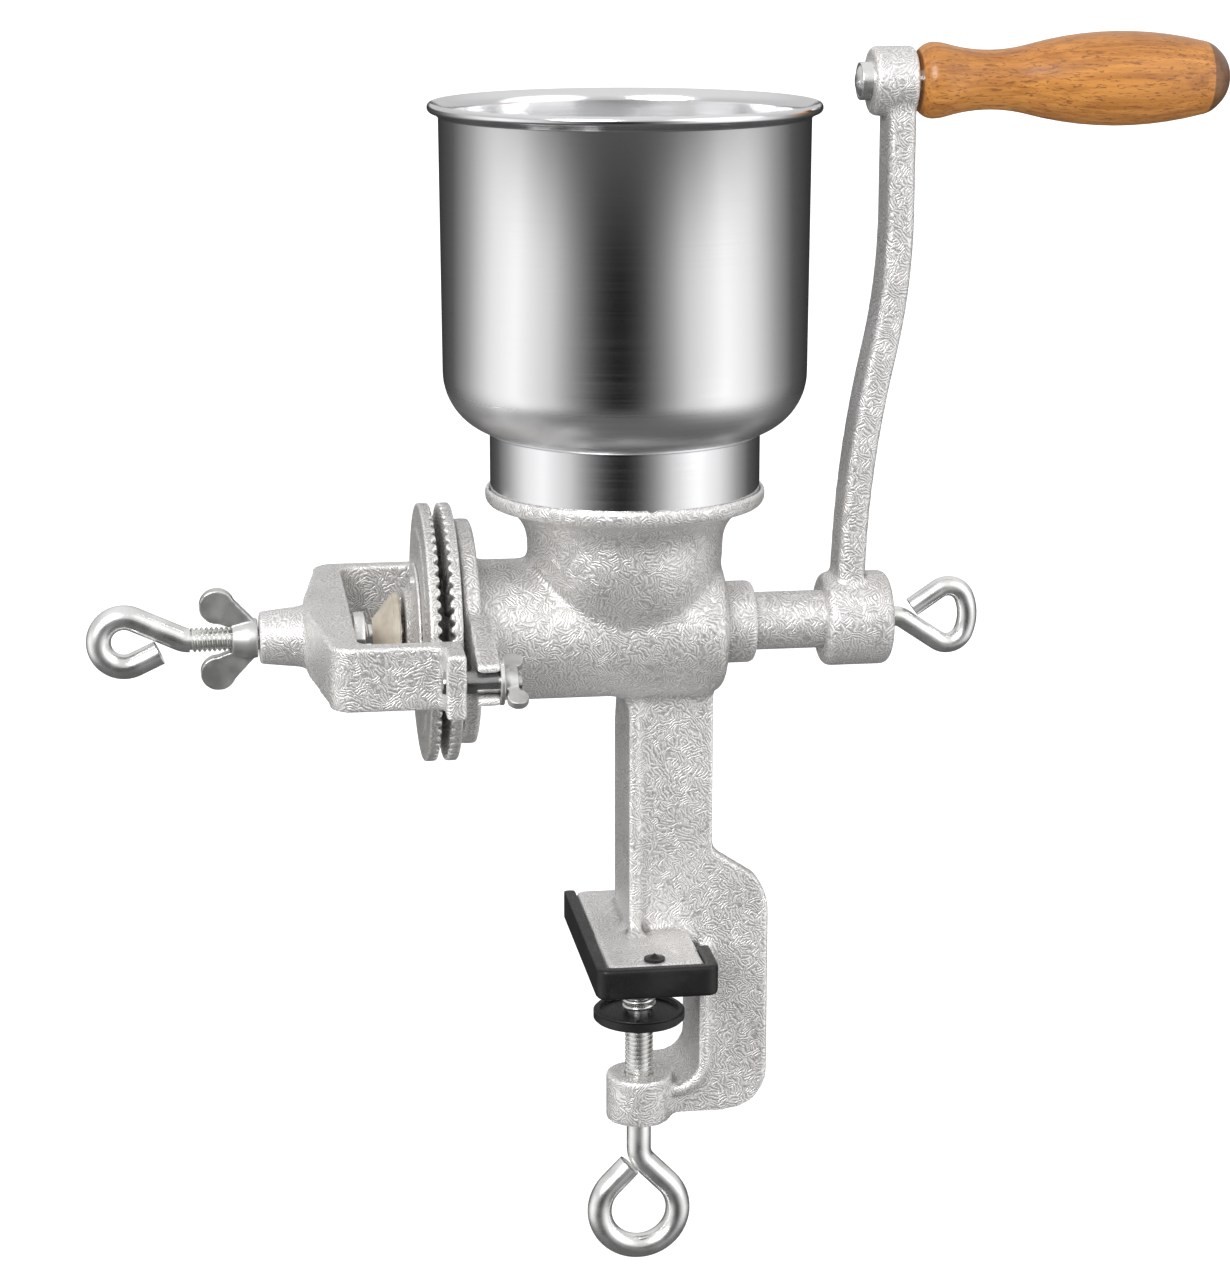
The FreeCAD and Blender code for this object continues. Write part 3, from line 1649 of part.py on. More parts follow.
body_casting()
seat_pad()
seat_pad_rivets()
hopper()
screwed_disc(
    "stationary_disc", FIXED_DISC_FACE, 1, BORE_RADIUS + 0.3, BORE_RADIUS - 1,
    FIXED_SCREW_CIRCLE, FIXED_SCREW_ANGLES, 12.0,
)
screwed_disc(
    "rotating_disc", MOVING_DISC_FACE, -1, d.spigot_radius + 0.05, d.spigot_radius + 3,
    MOVING_SCREW_CIRCLE, MOVING_SCREW_ANGLES, 8.4,
)
disc_carrier()
auger()
thrust_pieces()
yoke()
stud_fasteners()
adjusting_screw()
jam_nut()
wing_nut(
    "lock_wing_nut", YOKE_END - 0.5, 0, AXIS, -1, d.screw_radius, sized(8.0), sized(10.4),
    sized(14.4), sized(7.2), sized(16.2), sized(4.4), turn=8,
)
crank_arm()
crank_washer()
crank_eye_screw()
grip_axle()
grip()
clamp_screw()
clamp_pad()
retaining_ring()

doc.recompute()
for thing in doc.Objects:
    if "Invalid" in thing.State or "Error" in thing.State:
        raise SystemExit(f"{thing.Name} is {thing.State}")
os.makedirs("parts", exist_ok=True)
for piece in SUBPARTS:
    shape = piece.Shape
    if shape.isNull() or not shape.isValid():
        raise SystemExit(f"{piece.Label} has no valid shape")
    shape.exportStep(f"parts/{piece.Label}.step")
    print(f"{piece.Label}: {len(shape.Solids)} solid(s), {shape.Volume / 1000:.2f} cm3")
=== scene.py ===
"""Hand grain mill, dressed for Blender. Sizes are in millimetres; finished meshes are in metres."""

import math

import bmesh
import bpy
import numpy as np
from mathutils import Matrix, Vector


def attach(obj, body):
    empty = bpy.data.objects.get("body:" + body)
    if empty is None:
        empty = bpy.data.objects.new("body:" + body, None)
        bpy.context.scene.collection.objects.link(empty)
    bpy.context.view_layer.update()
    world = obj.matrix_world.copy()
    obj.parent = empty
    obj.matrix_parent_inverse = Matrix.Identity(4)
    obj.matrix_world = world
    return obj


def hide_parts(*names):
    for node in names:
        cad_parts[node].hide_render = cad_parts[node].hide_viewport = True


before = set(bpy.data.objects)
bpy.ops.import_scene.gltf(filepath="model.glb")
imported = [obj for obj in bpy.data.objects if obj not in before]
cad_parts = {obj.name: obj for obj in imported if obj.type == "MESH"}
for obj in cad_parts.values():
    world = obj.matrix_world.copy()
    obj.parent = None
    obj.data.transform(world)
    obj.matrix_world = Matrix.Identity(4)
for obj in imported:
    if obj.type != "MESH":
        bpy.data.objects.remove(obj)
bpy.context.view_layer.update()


# Mill body: collar, funnel, barrel, ears, post and clamp frame cast as one piece of grey iron,
# then tinned. Sand casting rounds its edges and fills its inner corners; the bores and the
# hopper's seat stay as they are machined.

MM = 0.001
AXIS = 143.7
HOPPER_X = -6.3
BORE = 26.0
FLANGE_X = -82.0
EAR_INNER = 60.0
EAR_SLOT = 10.0
STUD_CIRCLE = 72.0
SEAT_RADIUS = 55.8
SEAT_FOOT, SEAT_TOP = 194.0, 200.0
RIB_FOOT, RIB_TOP = 10.0, 104.0
RIB_BACK, RIB_SIDE = 4.0, -4.0
JAW_FOOT, JAW_TOP = -62.0, 2.0
JAW_BACK = 34.0
CLAMP_BOSS, CLAMP_BOSS_TOP, CLAMP_BORE = 14.0, -40.0, 9.0
TIN_DARK, TIN_LIGHT = (0.45, 0.435, 0.425), (1.0, 0.99, 0.98)
# Dark grey of the painted shade in the casting's inner corners.
CREASE_SHADE = (0.14, 0.13, 0.12)


def add(tree, kind, **settings):
    """Adds a shader node; a setting that isn't one of its properties is an input, set or linked."""
    made = tree.nodes.new("ShaderNode" + kind)
    for key, value in settings.items():
        if hasattr(made, key):
            setattr(made, key, value)
            continue
        socket = made.inputs[int(key[1:]) if key[1:].isdigit() else key.replace("_", " ")]
        if isinstance(value, bpy.types.NodeSocket):
            tree.links.new(value, socket)
        else:
            socket.default_value = value
    return made


def new_material(name, **surface):
    """A material with a plain shader, its tree, its shader and the object's own coordinates."""
    made = bpy.data.materials.new(name)
    made.use_nodes = True
    tree = made.node_tree
    shader = tree.nodes["Principled BSDF"]
    for key, value in surface.items():
        shader.inputs[key.replace("_", " ")].default_value = value
    return made, tree, shader, add(tree, "TexCoord").outputs["Object"]


def reckon(tree, operation, *values):
    """One step of arithmetic on numbers or other nodes' outputs."""
    made = add(tree, "Math", operation=operation)
    for socket, value in zip(made.inputs, values):
        if isinstance(value, bpy.types.NodeSocket):
            tree.links.new(value, socket)
        else:
            socket.default_value = value
    return made.outputs[0]


def noise(tree, vector, scale, detail=2.0, distortion=0.0):
    """Cloudy grey between 0 and 1."""
    made = add(
        tree, "TexNoise", Vector=vector, Scale=scale, Detail=detail, Distortion=distortion
    )
    return made.outputs["Fac"]


def spread(tree, value, low, high, to_low=0.0, to_high=1.0):
    """Maps a value's range onto another, smoothly."""
    made = add(
        tree, "MapRange", interpolation_type="SMOOTHSTEP", Value=value, From_Min=low,
        From_Max=high, To_Min=to_low, To_Max=to_high,
    )
    return made.outputs[0]


def blend(tree, share, first, second):
    """Mixes two colours, each a triple or another node's output."""
    made = add(tree, "Mix", data_type="RGBA", Factor=share)
    for socket, colour in ((made.inputs[6], first), (made.inputs[7], second)):
        if isinstance(colour, bpy.types.NodeSocket):
            tree.links.new(colour, socket)
        else:
            socket.default_value = (*colour, 1)
    return made.outputs[2]


def tinned_iron(name, dark, light, stroke=1.05):
    """Tinned cast iron: pale, crinkled all over by short raised strokes, a stroke apart.

    The strokes lie in patches, each its own way. The inner corners are darkened with painted shade,
    and the outer corners are lightened with a painted highlight.
    """
    made, tree, shader, place = new_material(name, Metallic=0.7)
    drift = add(tree, "TexNoise", Vector=place, Scale=190, Detail=1.0).outputs["Color"]
    bent = add(
        tree, "VectorMath", operation="MULTIPLY_ADD", _0=drift, _1=(0.004, 0.004, 0.004), _2=place
    ).outputs[0]
    patch = add(tree, "TexVoronoi", Vector=bent, Scale=310).outputs["Color"]
    patch = add(tree, "VectorMath", operation="SUBTRACT", _0=patch, _1=(0.5, 0.5, 0.5))
    way = add(tree, "VectorMath", operation="NORMALIZE", _0=patch.outputs[0]).outputs[0]
    along = add(tree, "VectorMath", operation="DOT_PRODUCT", _0=way, _1=bent)
    wave = reckon(tree, "MULTIPLY", along.outputs["Value"], math.tau / (stroke * MM))
    strokes = spread(tree, reckon(tree, "SINE", wave), -0.9, 0.9)
    grain = noise(tree, place, 1500, 3.0)
    height = reckon(tree, "MULTIPLY_ADD", strokes, 0.8, reckon(tree, "MULTIPLY", grain, 0.7))
    bump = add(tree, "Bump", Strength=1.0, Distance=0.00016, Height=height)
    clouds = spread(tree, noise(tree, place, 28, 3.0), 0.3, 0.7)
    # Painted shade on the relief: the strokes' grooves are coloured darker and their crests
    # lighter; the clouds and grain add random tone.
    shade = reckon(tree, "MULTIPLY_ADD", strokes, 0.45, reckon(tree, "MULTIPLY", clouds, 0.2))
    shade = reckon(tree, "MULTIPLY_ADD", spread(tree, grain, 0.3, 0.7), 0.35, shade)
    # Pointiness finds the corners: inner corners get painted shade, outer corners a painted
    # highlight.
    corner = add(tree, "NewGeometry").outputs["Pointiness"]
    painted_crease_shade = spread(tree, corner, 0.455, 0.494, 0.7, 0.0)
    painted_edge_highlight = spread(tree, corner, 0.508, 0.545, 0.0, 0.35)
    tinned = blend(tree, reckon(tree, "ADD", shade, painted_edge_highlight), dark, light)
    tree.links.new(blend(tree, painted_crease_shade, tinned, CREASE_SHADE), shader.inputs["Base Color"])
    tree.links.new(spread(tree, grain, 0.3, 0.7, 0.34, 0.5), shader.inputs["Roughness"])
    tree.links.new(bump.outputs[0], shader.inputs["Normal"])
    return made


def softened(node, voxel, rounds, edge=0.25, keep=None):
    """A cast node's solid with its edges rounded off and its inner corners filled.

    keep gives the share of the rounds that each place takes. A machined place takes none of them,
    only the few light ones that even out the voxels.
    """
    source = bpy.data.objects.new(node + "_blank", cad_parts[node].data.copy())
    bpy.context.scene.collection.objects.link(source)
    source.modifiers.new("weld", "WELD").merge_threshold = 0.001 * MM
    remesh = source.modifiers.new("voxels", "REMESH")
    remesh.mode = "VOXEL"
    remesh.voxel_size = voxel * MM
    graph = bpy.context.evaluated_depsgraph_get()
    fine = bpy.data.meshes.new_from_object(source.evaluated_get(graph))
    bpy.data.objects.remove(source)
    fine.materials.clear()
    count = len(fine.vertices)
    place = np.empty(count * 3)
    fine.vertices.foreach_get("co", place)
    place = place.reshape(-1, 3)
    pairs = np.empty(len(fine.edges) * 2, int)
    fine.edges.foreach_get("vertices", pairs)
    first, second = pairs.reshape(-1, 2).T
    ends = np.concatenate((first, second))
    others = np.concatenate((second, first))
    neighbours = np.bincount(ends, minlength=count)
    full_rounds, later_share, machined_rounds = 6, 0.3, 3
    outward = np.empty(count * 3)
    fine.vertex_normals.foreach_get("vector", outward)
    outward = outward.reshape(-1, 3)
    limit = rounds * (np.ones(count) if keep is None else keep(*(place / MM).T))
    for index in range(rounds):
        sums = [np.bincount(ends, place[others, axis], count) for axis in range(3)]
        step = np.stack(sums, axis=1) / neighbours[:, None] - place
        corner = (step * outward).sum(axis=1) > 0
        share = np.where(corner, 0.5, edge if index < full_rounds else edge * later_share)
        share[index >= limit] = 0
        share[limit == 0] = 0.2 if index < machined_rounds else 0
        place += step * share[:, None]
    fine.vertices.foreach_set("co", place.ravel())
    return fine


def dress(name, mesh, material, body, *nodes):
    """Puts a finished mesh on its body in place of the nodes that it dresses."""
    made = bpy.data.objects.new(name, mesh)
    bpy.context.scene.collection.objects.link(made)
    mesh.name = name
    mesh.shade_smooth()
    mesh.set_sharp_from_angle(angle=math.radians(38))
    mesh.materials.append(material)
    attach(made, body)
    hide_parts(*nodes)
    return made


def fettled(x, y, z):
    """Bores and seat stay as machined; the post's rib and the jaw's rim stay fairly crisp."""
    barrel = (np.hypot(y, z - AXIS) < BORE) & (x > FLANGE_X)
    slots = (np.abs(y) > EAR_INNER) & (np.hypot(np.abs(y) - STUD_CIRCLE, z - AXIS) < EAR_SLOT)
    clamp = (np.hypot(x, y) < CLAMP_BORE) & (z < CLAMP_BOSS_TOP)
    seat = (np.hypot(x - HOPPER_X, y) < SEAT_RADIUS) & (z > SEAT_FOOT) & (z < SEAT_TOP)
    rib = (x < RIB_BACK) & (y < RIB_SIDE) & (z > RIB_FOOT) & (z < RIB_TOP)
    rim = (x < JAW_BACK) & (z > JAW_FOOT) & (z < JAW_TOP) & (np.hypot(x, y) > CLAMP_BOSS)
    return np.select([barrel | slots | clamp | seat, rib, rim], [0, 0.1, 0.2], 1)


iron = tinned_iron("tinned_iron", TIN_DARK, TIN_LIGHT)
body_mesh = softened("body_casting", voxel=1.25, rounds=14, edge=0.22, keep=fettled)
dress("mill_body", body_mesh, iron, "casting", "body_casting")


# Seat pad: black rubber tray moulded to the seat plate, with a wall at the left and in front and a
# short hook at the right. Its edges are rounded by the mould.

RUBBER, RUBBER_DUSTY = (0.005, 0.005, 0.005), (0.014, 0.0135, 0.013)


def black_rubber(name):
    """Moulded rubber: near black, matt, finely pitted, with a little dust."""
    made, tree, shader, place = new_material(name, Specular_IOR_Level=0.45)
    pits = noise(tree, place, 1300, 3.0)
    dust = spread(tree, noise(tree, place, 60, 4.0), 0.45, 0.75)
    bump = add(tree, "Bump", Strength=0.3, Distance=0.00012, Height=pits)
    tree.links.new(blend(tree, dust, RUBBER, RUBBER_DUSTY), shader.inputs["Base Color"])
    tree.links.new(spread(tree, pits, 0.3, 0.7, 0.34, 0.5), shader.inputs["Roughness"])
    tree.links.new(bump.outputs[0], shader.inputs["Normal"])
    return made


rubber = black_rubber("black_rubber")
tray = softened("seat_pad", voxel=0.6, rounds=24, edge=0.5)
dress("seat_tray", tray, rubber, "casting", "seat_pad")


# Seat pad rivets: two black push rivets with domed heads that hold the tray to the plate. Each is
# turned here as one profile, head above the plate and shank down through it.

PLATE_TOP = 12.4
RIVET_FOOT = 0.3
RIVET_SHANK = 2.5
RIVET_HEAD = 4.3
RIVET_DOME, RIVET_RISE = 5.45, 3.2
RIVET_PLACES = (-41.5, 41.5)


def curve(*points, turn=5.0):
    """An outline through points; a third value is the radius of the arc that arrives there.

    The arc's centre lies on the left of its chord if the radius is positive, and turn is the
    largest angle of one step in degrees.
    """
    line = [Vector(points[0][:2])]
    for x, y, *arc in points[1:]:
        start, finish = line[-1], Vector((x, y))
        if arc:
            chord = finish - start
            radius = math.copysign(max(abs(arc[0]), chord.length / 2), arc[0])
            rise = math.sqrt(radius * radius - chord.length_squared / 4)
            side = Vector((-chord.y, chord.x)).normalized() * math.copysign(rise, radius)
            centre = (start + finish) / 2 + side
            sweep = 2 * math.asin(chord.length / 2 / abs(radius))
            count = max(2, math.ceil(math.degrees(sweep) / turn))
            for index in range(1, count):
                angle = math.copysign(sweep, radius) * index / count
                line.append(centre + Matrix.Rotation(angle, 2) @ (start - centre))
        line.append(finish)
    return line


def turned(shape, outline, axis, centre, steps=96):
    """Spins a closed outline of (along, out) points about an axis through a centre."""
    along, out = Vector((1, 0, 0)), Vector((0, 0, 1))
    if axis == "Z":
        along, out = out, along
    centre = Vector(centre)
    verts = [shape.verts.new(centre + along * a + out * r) for a, r in outline]
    edges = [shape.edges.new(pair) for pair in zip(verts, verts[1:] + verts[:1])]
    bmesh.ops.spin(
        shape, geom=verts + edges, cent=centre, axis=along, angle=math.tau, steps=steps,
        use_merge=True,
    )
    bmesh.ops.remove_doubles(shape, verts=shape.verts, dist=0.002)


def closed(shape):
    """Turns a finished bmesh in millimetres into a mesh in metres whose faces point outwards."""
    bmesh.ops.recalc_face_normals(shape, faces=shape.faces)
    bmesh.ops.scale(shape, verts=shape.verts, vec=(MM, MM, MM))
    mesh = bpy.data.meshes.new("made")
    shape.to_mesh(mesh)
    shape.free()
    return mesh


rivets = bmesh.new()
rivet_profile = curve(
    (RIVET_FOOT, 0), (RIVET_FOOT, RIVET_SHANK), (PLATE_TOP, RIVET_SHANK),
    (PLATE_TOP, RIVET_HEAD - 0.2), (PLATE_TOP + 0.2, RIVET_HEAD), (PLATE_TOP + 1.1, RIVET_HEAD),
    (PLATE_TOP + RIVET_RISE, 0, RIVET_DOME),
)
for place in RIVET_PLACES:
    turned(rivets, rivet_profile, "Z", (0, place, 0), steps=40)
dress("rivet_pair", closed(rivets), rubber, "casting", "seat_pad_rivets")


# Clamp screw: M12 eye bolt of zinc-plated bar that presses up under the table. Its bar is bent
# into a long loop for a finger grip, its thread runs through the clamp boss, and a plain journal
# at the top carries the pad.

CLAMP_TIP = -15.4
CLAMP_SHOULDER = -28.1
THREAD_FOOT = -71.6
SHANK_END = -85.5
CLAMP_APEX = -90.7
CLAMP_JOURNAL = 5.0
CLAMP_CORE = 4.95
CLAMP_ROD = 5.2
CLAMP_CREST = 6.0
BAR_PITCH = 2.0
BEND_STEP = 0.12
BAR_INSET, BAR_RISE = 0.14, 0.12
RIDGE_DEPTH, RIDGE_FOOT, RIDGE_CREST = 0.55, 0.46, 0.1
RIDGE_STEPS = 28
LOOP_GAP = 0.4


def zinc_steel(name, dark=0.78, light=0.96, smoothest=0.2, roughest=0.32, metal=0.95):
    """Zinc-plated steel: satin, faintly clouded, with short die marks."""
    made, tree, shader, place = new_material(name, Metallic=metal)
    mottle = noise(tree, place, 90, 3.0)
    marks = noise(tree, place, 1500, 2.0, 0.5)
    bump = add(tree, "Bump", Strength=0.25, Distance=0.00008, Height=marks)
    tone = spread(tree, mottle, 0.3, 0.7)
    tree.links.new(
        blend(tree, tone, (dark, dark, dark * 0.98), (light, light, light * 0.985)),
        shader.inputs["Base Color"],
    )
    finish = spread(tree, mottle, 0.3, 0.7, smoothest, roughest)
    tree.links.new(finish, shader.inputs["Roughness"])
    tree.links.new(bump.outputs[0], shader.inputs["Normal"])
    return made


def swept(shape, ring, centre, **motion):
    """Carries a ring of vertices and edges along by one spin, and gives the ring it ends in."""
    made = bmesh.ops.spin(shape, geom=ring, cent=centre, **motion)
    return made["geom_last"]


def bar(shape, route, radius, height=0.0, sides=32):
    """A round bar along (x, z) points; a third value is the radius of the bend that ends there."""
    here = Vector((route[0][0], 0, route[0][1] + height))
    ahead = Vector((route[1][0], 0, route[1][1] + height)) - here
    turn = ahead.to_track_quat("Z", "Y").to_matrix().to_4x4()
    start = bmesh.ops.create_circle(
        shape, segments=sides, radius=radius, matrix=Matrix.Translation(here) @ turn
    )["verts"]
    ring = start + list(dict.fromkeys(edge for vert in start for edge in vert.link_edges))
    first = [edge for edge in ring if isinstance(edge, bmesh.types.BMEdge)]
    for x, z, *bend in route[1:]:
        there = Vector((x, 0, z + height))
        chord = there - here
        if bend:
            reach = bend[0]
            rise = math.sqrt(max(reach * reach - chord.length_squared / 4, 0))
            left = Vector((-chord.z, 0, chord.x)).normalized() * math.copysign(rise, reach)
            sweep = 2 * math.asin(min(chord.length / 2 / abs(reach), 1))
            ring = swept(
                shape, ring, (here + there) / 2 + left, axis=(0, -1, 0),
                angle=math.copysign(sweep, reach), steps=max(2, math.ceil(sweep / BEND_STEP)),
            )
        else:
            ring = swept(shape, ring, here, axis=(0, -1, 0), dvec=chord, angle=0, steps=1)
        here = there
    last = [edge for edge in ring if isinstance(edge, bmesh.types.BMEdge)]
    for rim in (first, last):
        cap = bmesh.ops.edgeloop_fill(shape, edges=rim)["faces"]
        bmesh.ops.inset_region(shape, faces=cap, thickness=radius * BAR_INSET, depth=0)
        bmesh.ops.translate(
            shape, verts=cap[0].verts, vec=cap[0].normal * radius * BAR_RISE
        )


def thread(shape, start, way, radius, pitch, turns):
    """A right-hand ridge, closed at both ends, wound along a unit way from a point of the axis."""
    start, way = Vector(start), Vector(way)
    out = Vector((0, 1, 0))
    root = radius - pitch * RIDGE_DEPTH
    section = (
        (root, -RIDGE_FOOT), (radius, -RIDGE_CREST), (radius, RIDGE_CREST), (root, RIDGE_FOOT)
    )
    verts = [shape.verts.new(start + out * reach + way * pitch * along) for reach, along in section]
    edges = [shape.edges.new(pair) for pair in zip(verts, verts[1:] + verts[:1])]
    steps = round(turns * RIDGE_STEPS)
    last = swept(
        shape, verts + edges, start, axis=way, dvec=way * (pitch * turns / steps),
        angle=math.tau * turns, steps=steps,
    )
    for rim in (edges, [edge for edge in last if isinstance(edge, bmesh.types.BMEdge)]):
        bmesh.ops.edgeloop_fill(shape, edges=rim)


def eye(
    apex, shank, radius, half_angle, rod, bend, way, side, upright=False, tight=1.0, reach=None
):
    """The route of an eye bolt from its shank into the bend, round the loop and back again.

    A tight share under 1 bends the loop more at two corners and less across its far end, which
    lies at reach from the apex.
    """
    sine, cosine = math.sin(math.radians(half_angle)), math.cos(math.radians(half_angle))
    end = reach or radius / sine + radius
    corner = radius * tight
    beside = radius - corner
    along = (corner + beside * cosine) / sine
    depth = end - along
    base = (depth**2 + beside**2 - corner**2) / (depth - corner) / 2 if beside else radius
    turn_in = bend * sine / (cosine + 1)
    double = math.radians(half_angle * 2)
    stop = (rod * (math.cos(double) + 1) + LOOP_GAP) / math.sin(double)
    touch = (along - corner * sine, beside + corner * cosine)
    share = corner / (base - corner) if beside else 0
    turn_out = (along + (along - end + base) * share, beside + beside * share)
    hand = way * side * (-1 if upright else 1)
    route = [
        (-shank, 0), (-turn_in, 0), (turn_in * cosine, turn_in * sine, bend * hand), touch,
    ]
    if beside:
        route += [
            (*turn_out, -corner * hand), (turn_out[0], -turn_out[1], -base * hand),
            (touch[0], -touch[1], -corner * hand),
        ]
    else:
        route += [(end, 0, -radius * hand), (touch[0], -touch[1], -radius * hand)]
    route.append((stop * cosine, -stop * sine))
    placed = []
    for along, across, *arc in route:
        first, second = apex + along * way, across * side
        placed.append((second, first, *arc) if upright else (first, second, *arc))
    return placed


zinc = zinc_steel("zinc_steel")
clamp = bmesh.new()
clamp_loop = eye(
    CLAMP_APEX, shank=6.7, radius=17.0, half_angle=44.0, rod=CLAMP_ROD, bend=10.0, way=-1, side=1,
    upright=True,
)
bar(clamp, clamp_loop, CLAMP_ROD)
turned(
    clamp,
    curve(
        (CLAMP_TIP, 0), (CLAMP_TIP, CLAMP_JOURNAL - 1.2), (CLAMP_TIP - 1.2, CLAMP_JOURNAL, -1.3),
        (CLAMP_SHOULDER, CLAMP_JOURNAL), (CLAMP_SHOULDER, CLAMP_ROD),
        (CLAMP_SHOULDER - 1.4, CLAMP_ROD), (CLAMP_SHOULDER - 2.4, CLAMP_CORE),
        (THREAD_FOOT, CLAMP_CORE), (THREAD_FOOT - 0.8, CLAMP_ROD), (SHANK_END, CLAMP_ROD),
        (SHANK_END, 0),
    ),
    "Z", (0, 0, 0), steps=48,
)
thread(clamp, (0, 0, THREAD_FOOT - 0.2), (0, 0, 1), CLAMP_CREST, BAR_PITCH, turns=20.7)
dress("clamp_bolt", closed(clamp), zinc, "clamp_bolt", "clamp_screw")


# Clamp pad and its ring: a black pressing, dished on top, that turns on the screw's journal. Two
# turns of bright wire snapped round the journal keep it there.

PAD_FOOT, PAD_TOP, PAD_DISH = -27.9, -23.2, -24.7
PAD_RADIUS, PAD_EDGE, PAD_BORE = 19.4, 0.8, 5.08
WIRE, COIL = 1.05, 6.2
COIL_START, COIL_RISE, COIL_STEPS = -23.6, 5.2, 96

pad = bmesh.new()
turned(
    pad,
    curve(
        (PAD_FOOT, PAD_BORE), (PAD_FOOT, PAD_RADIUS - PAD_EDGE),
        (PAD_FOOT + PAD_EDGE, PAD_RADIUS, PAD_EDGE), (PAD_TOP - PAD_EDGE, PAD_RADIUS),
        (PAD_TOP, PAD_RADIUS - PAD_EDGE, PAD_EDGE), (PAD_TOP, 17.0), (PAD_TOP - 0.3, 16.6, 0.5),
        (PAD_DISH + 0.2, 16.1), (PAD_DISH, 15.7, -0.5), (PAD_DISH, PAD_BORE),
    ),
    "Z", (0, 0, 0), steps=128,
)
dress("pad_disc", closed(pad), rubber, "clamp_foot", "clamp_pad")

ring = bmesh.new()
wire = bmesh.ops.create_circle(
    ring, segments=20, radius=WIRE,
    matrix=Matrix.Translation((COIL, 0, COIL_START)) @ Matrix.Rotation(math.radians(90), 4, "X"),
)["verts"]
wire_edges = list(dict.fromkeys(edge for vert in wire for edge in vert.link_edges))
coil_end = swept(
    ring, wire + wire_edges, (0, 0, 0), axis=(0, 0, 1), dvec=(0, 0, COIL_RISE / COIL_STEPS),
    angle=2 * math.tau, steps=COIL_STEPS,
)
for rim in (wire_edges, [edge for edge in coil_end if isinstance(edge, bmesh.types.BMEdge)]):
    bmesh.ops.edgeloop_fill(ring, edges=rim)
dress("pad_ring", closed(ring), zinc, "clamp_foot", "clamp_retaining_ring")


# Stationary disc: cast iron with fine radial teeth at its rim and coarse feed grooves inside, held
# against the flange by three countersunk screws from its toothed face.

DISC_DARK, DISC_LIGHT = (0.40, 0.385, 0.375), (0.95, 0.94, 0.92)


def disc_bores(x, y, z):
    """The throat in the middle of the disc stays as machined."""
    return np.where(np.hypot(y, z - AXIS) < BORE, 0, 1)


def plated(node):
    """Gives a node that keeps its own solid the zinc-plated steel."""
    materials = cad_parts[node].data.materials
    materials.clear()
    materials.append(zinc)


disc_iron = tinned_iron("disc_iron", DISC_DARK, DISC_LIGHT, stroke=1.1)
fixed_disc = softened("stationary_disc", voxel=0.6, rounds=7, edge=0.35, keep=disc_bores)
dress("fixed_disc", fixed_disc, disc_iron, "casting", "stationary_disc")
plated("stationary_disc_screws")


# Feed screw and shaft: one tinned casting with a square at each end, turning in the body's
# bearing. Its left-hand flight draws grain from the funnel to the discs.

SHAFT_START = 20.0
SQUARE_END = -90.0


def auger_bores(x, y, z):
    """The shaft behind the flight and the square before it stay as machined."""
    return np.where((x > SHAFT_START) | (x < SQUARE_END), 0, 1)


feed_screw = softened("auger", voxel=1.0, rounds=12, keep=auger_bores)
dress("feed_screw", feed_screw, iron, "drive", "auger")


# Carrier and rotating disc: the disc sits on the carrier's spigot, held by two countersunk screws,
# and the carrier sits on the feed screw's square. Both are cast and tinned.

SPIGOT = 15.0


def carrier_bores(x, y, z):
    """The spigot and the square hole in it stay as machined."""
    return np.where(np.hypot(y, z - AXIS) < SPIGOT, 0, 1)


hub = softened("disc_carrier", voxel=0.6, rounds=10, edge=0.3, keep=carrier_bores)
dress("disc_hub", hub, iron, "drive", "disc_carrier")
turning_disc = softened("rotating_disc", voxel=0.6, rounds=7, edge=0.35, keep=carrier_bores)
dress("turning_disc", turning_disc, disc_iron, "drive", "rotating_disc")
plated("rotating_disc_screws")


# Thrust ball, washer and cup: a steel ball between the feed screw's end and a moulded nylon cup,
# with a nylon washer round it. The cup turns on the adjusting screw's journal.

WASHER_FRONT, WASHER_BACK = -102.0, -99.4
WASHER_RADIUS, WASHER_HOLE, WASHER_EDGE = 16.6, 4.4, 0.5
CUP_TIP, CUP_STEP, CUP_POCKET = -110.4, -102.5, -103.9
CUP_RADIUS, CUP_NOSE, CUP_BORE = 15.5, 6.5, 4.08
CREAM_DARK, CREAM_LIGHT = (0.42, 0.36, 0.29), (0.60, 0.53, 0.44)


def cream_nylon(name):
    """Moulded nylon, cream, a little waxy."""
    made, tree, shader, place = new_material(name, Subsurface_Weight=0.08)
    cloud = noise(tree, place, 90, 3.0)
    tone = spread(tree, cloud, 0.3, 0.7)
    tree.links.new(blend(tree, tone, CREAM_DARK, CREAM_LIGHT), shader.inputs["Base Color"])
    tree.links.new(spread(tree, cloud, 0.3, 0.7, 0.3, 0.42), shader.inputs["Roughness"])
    return made


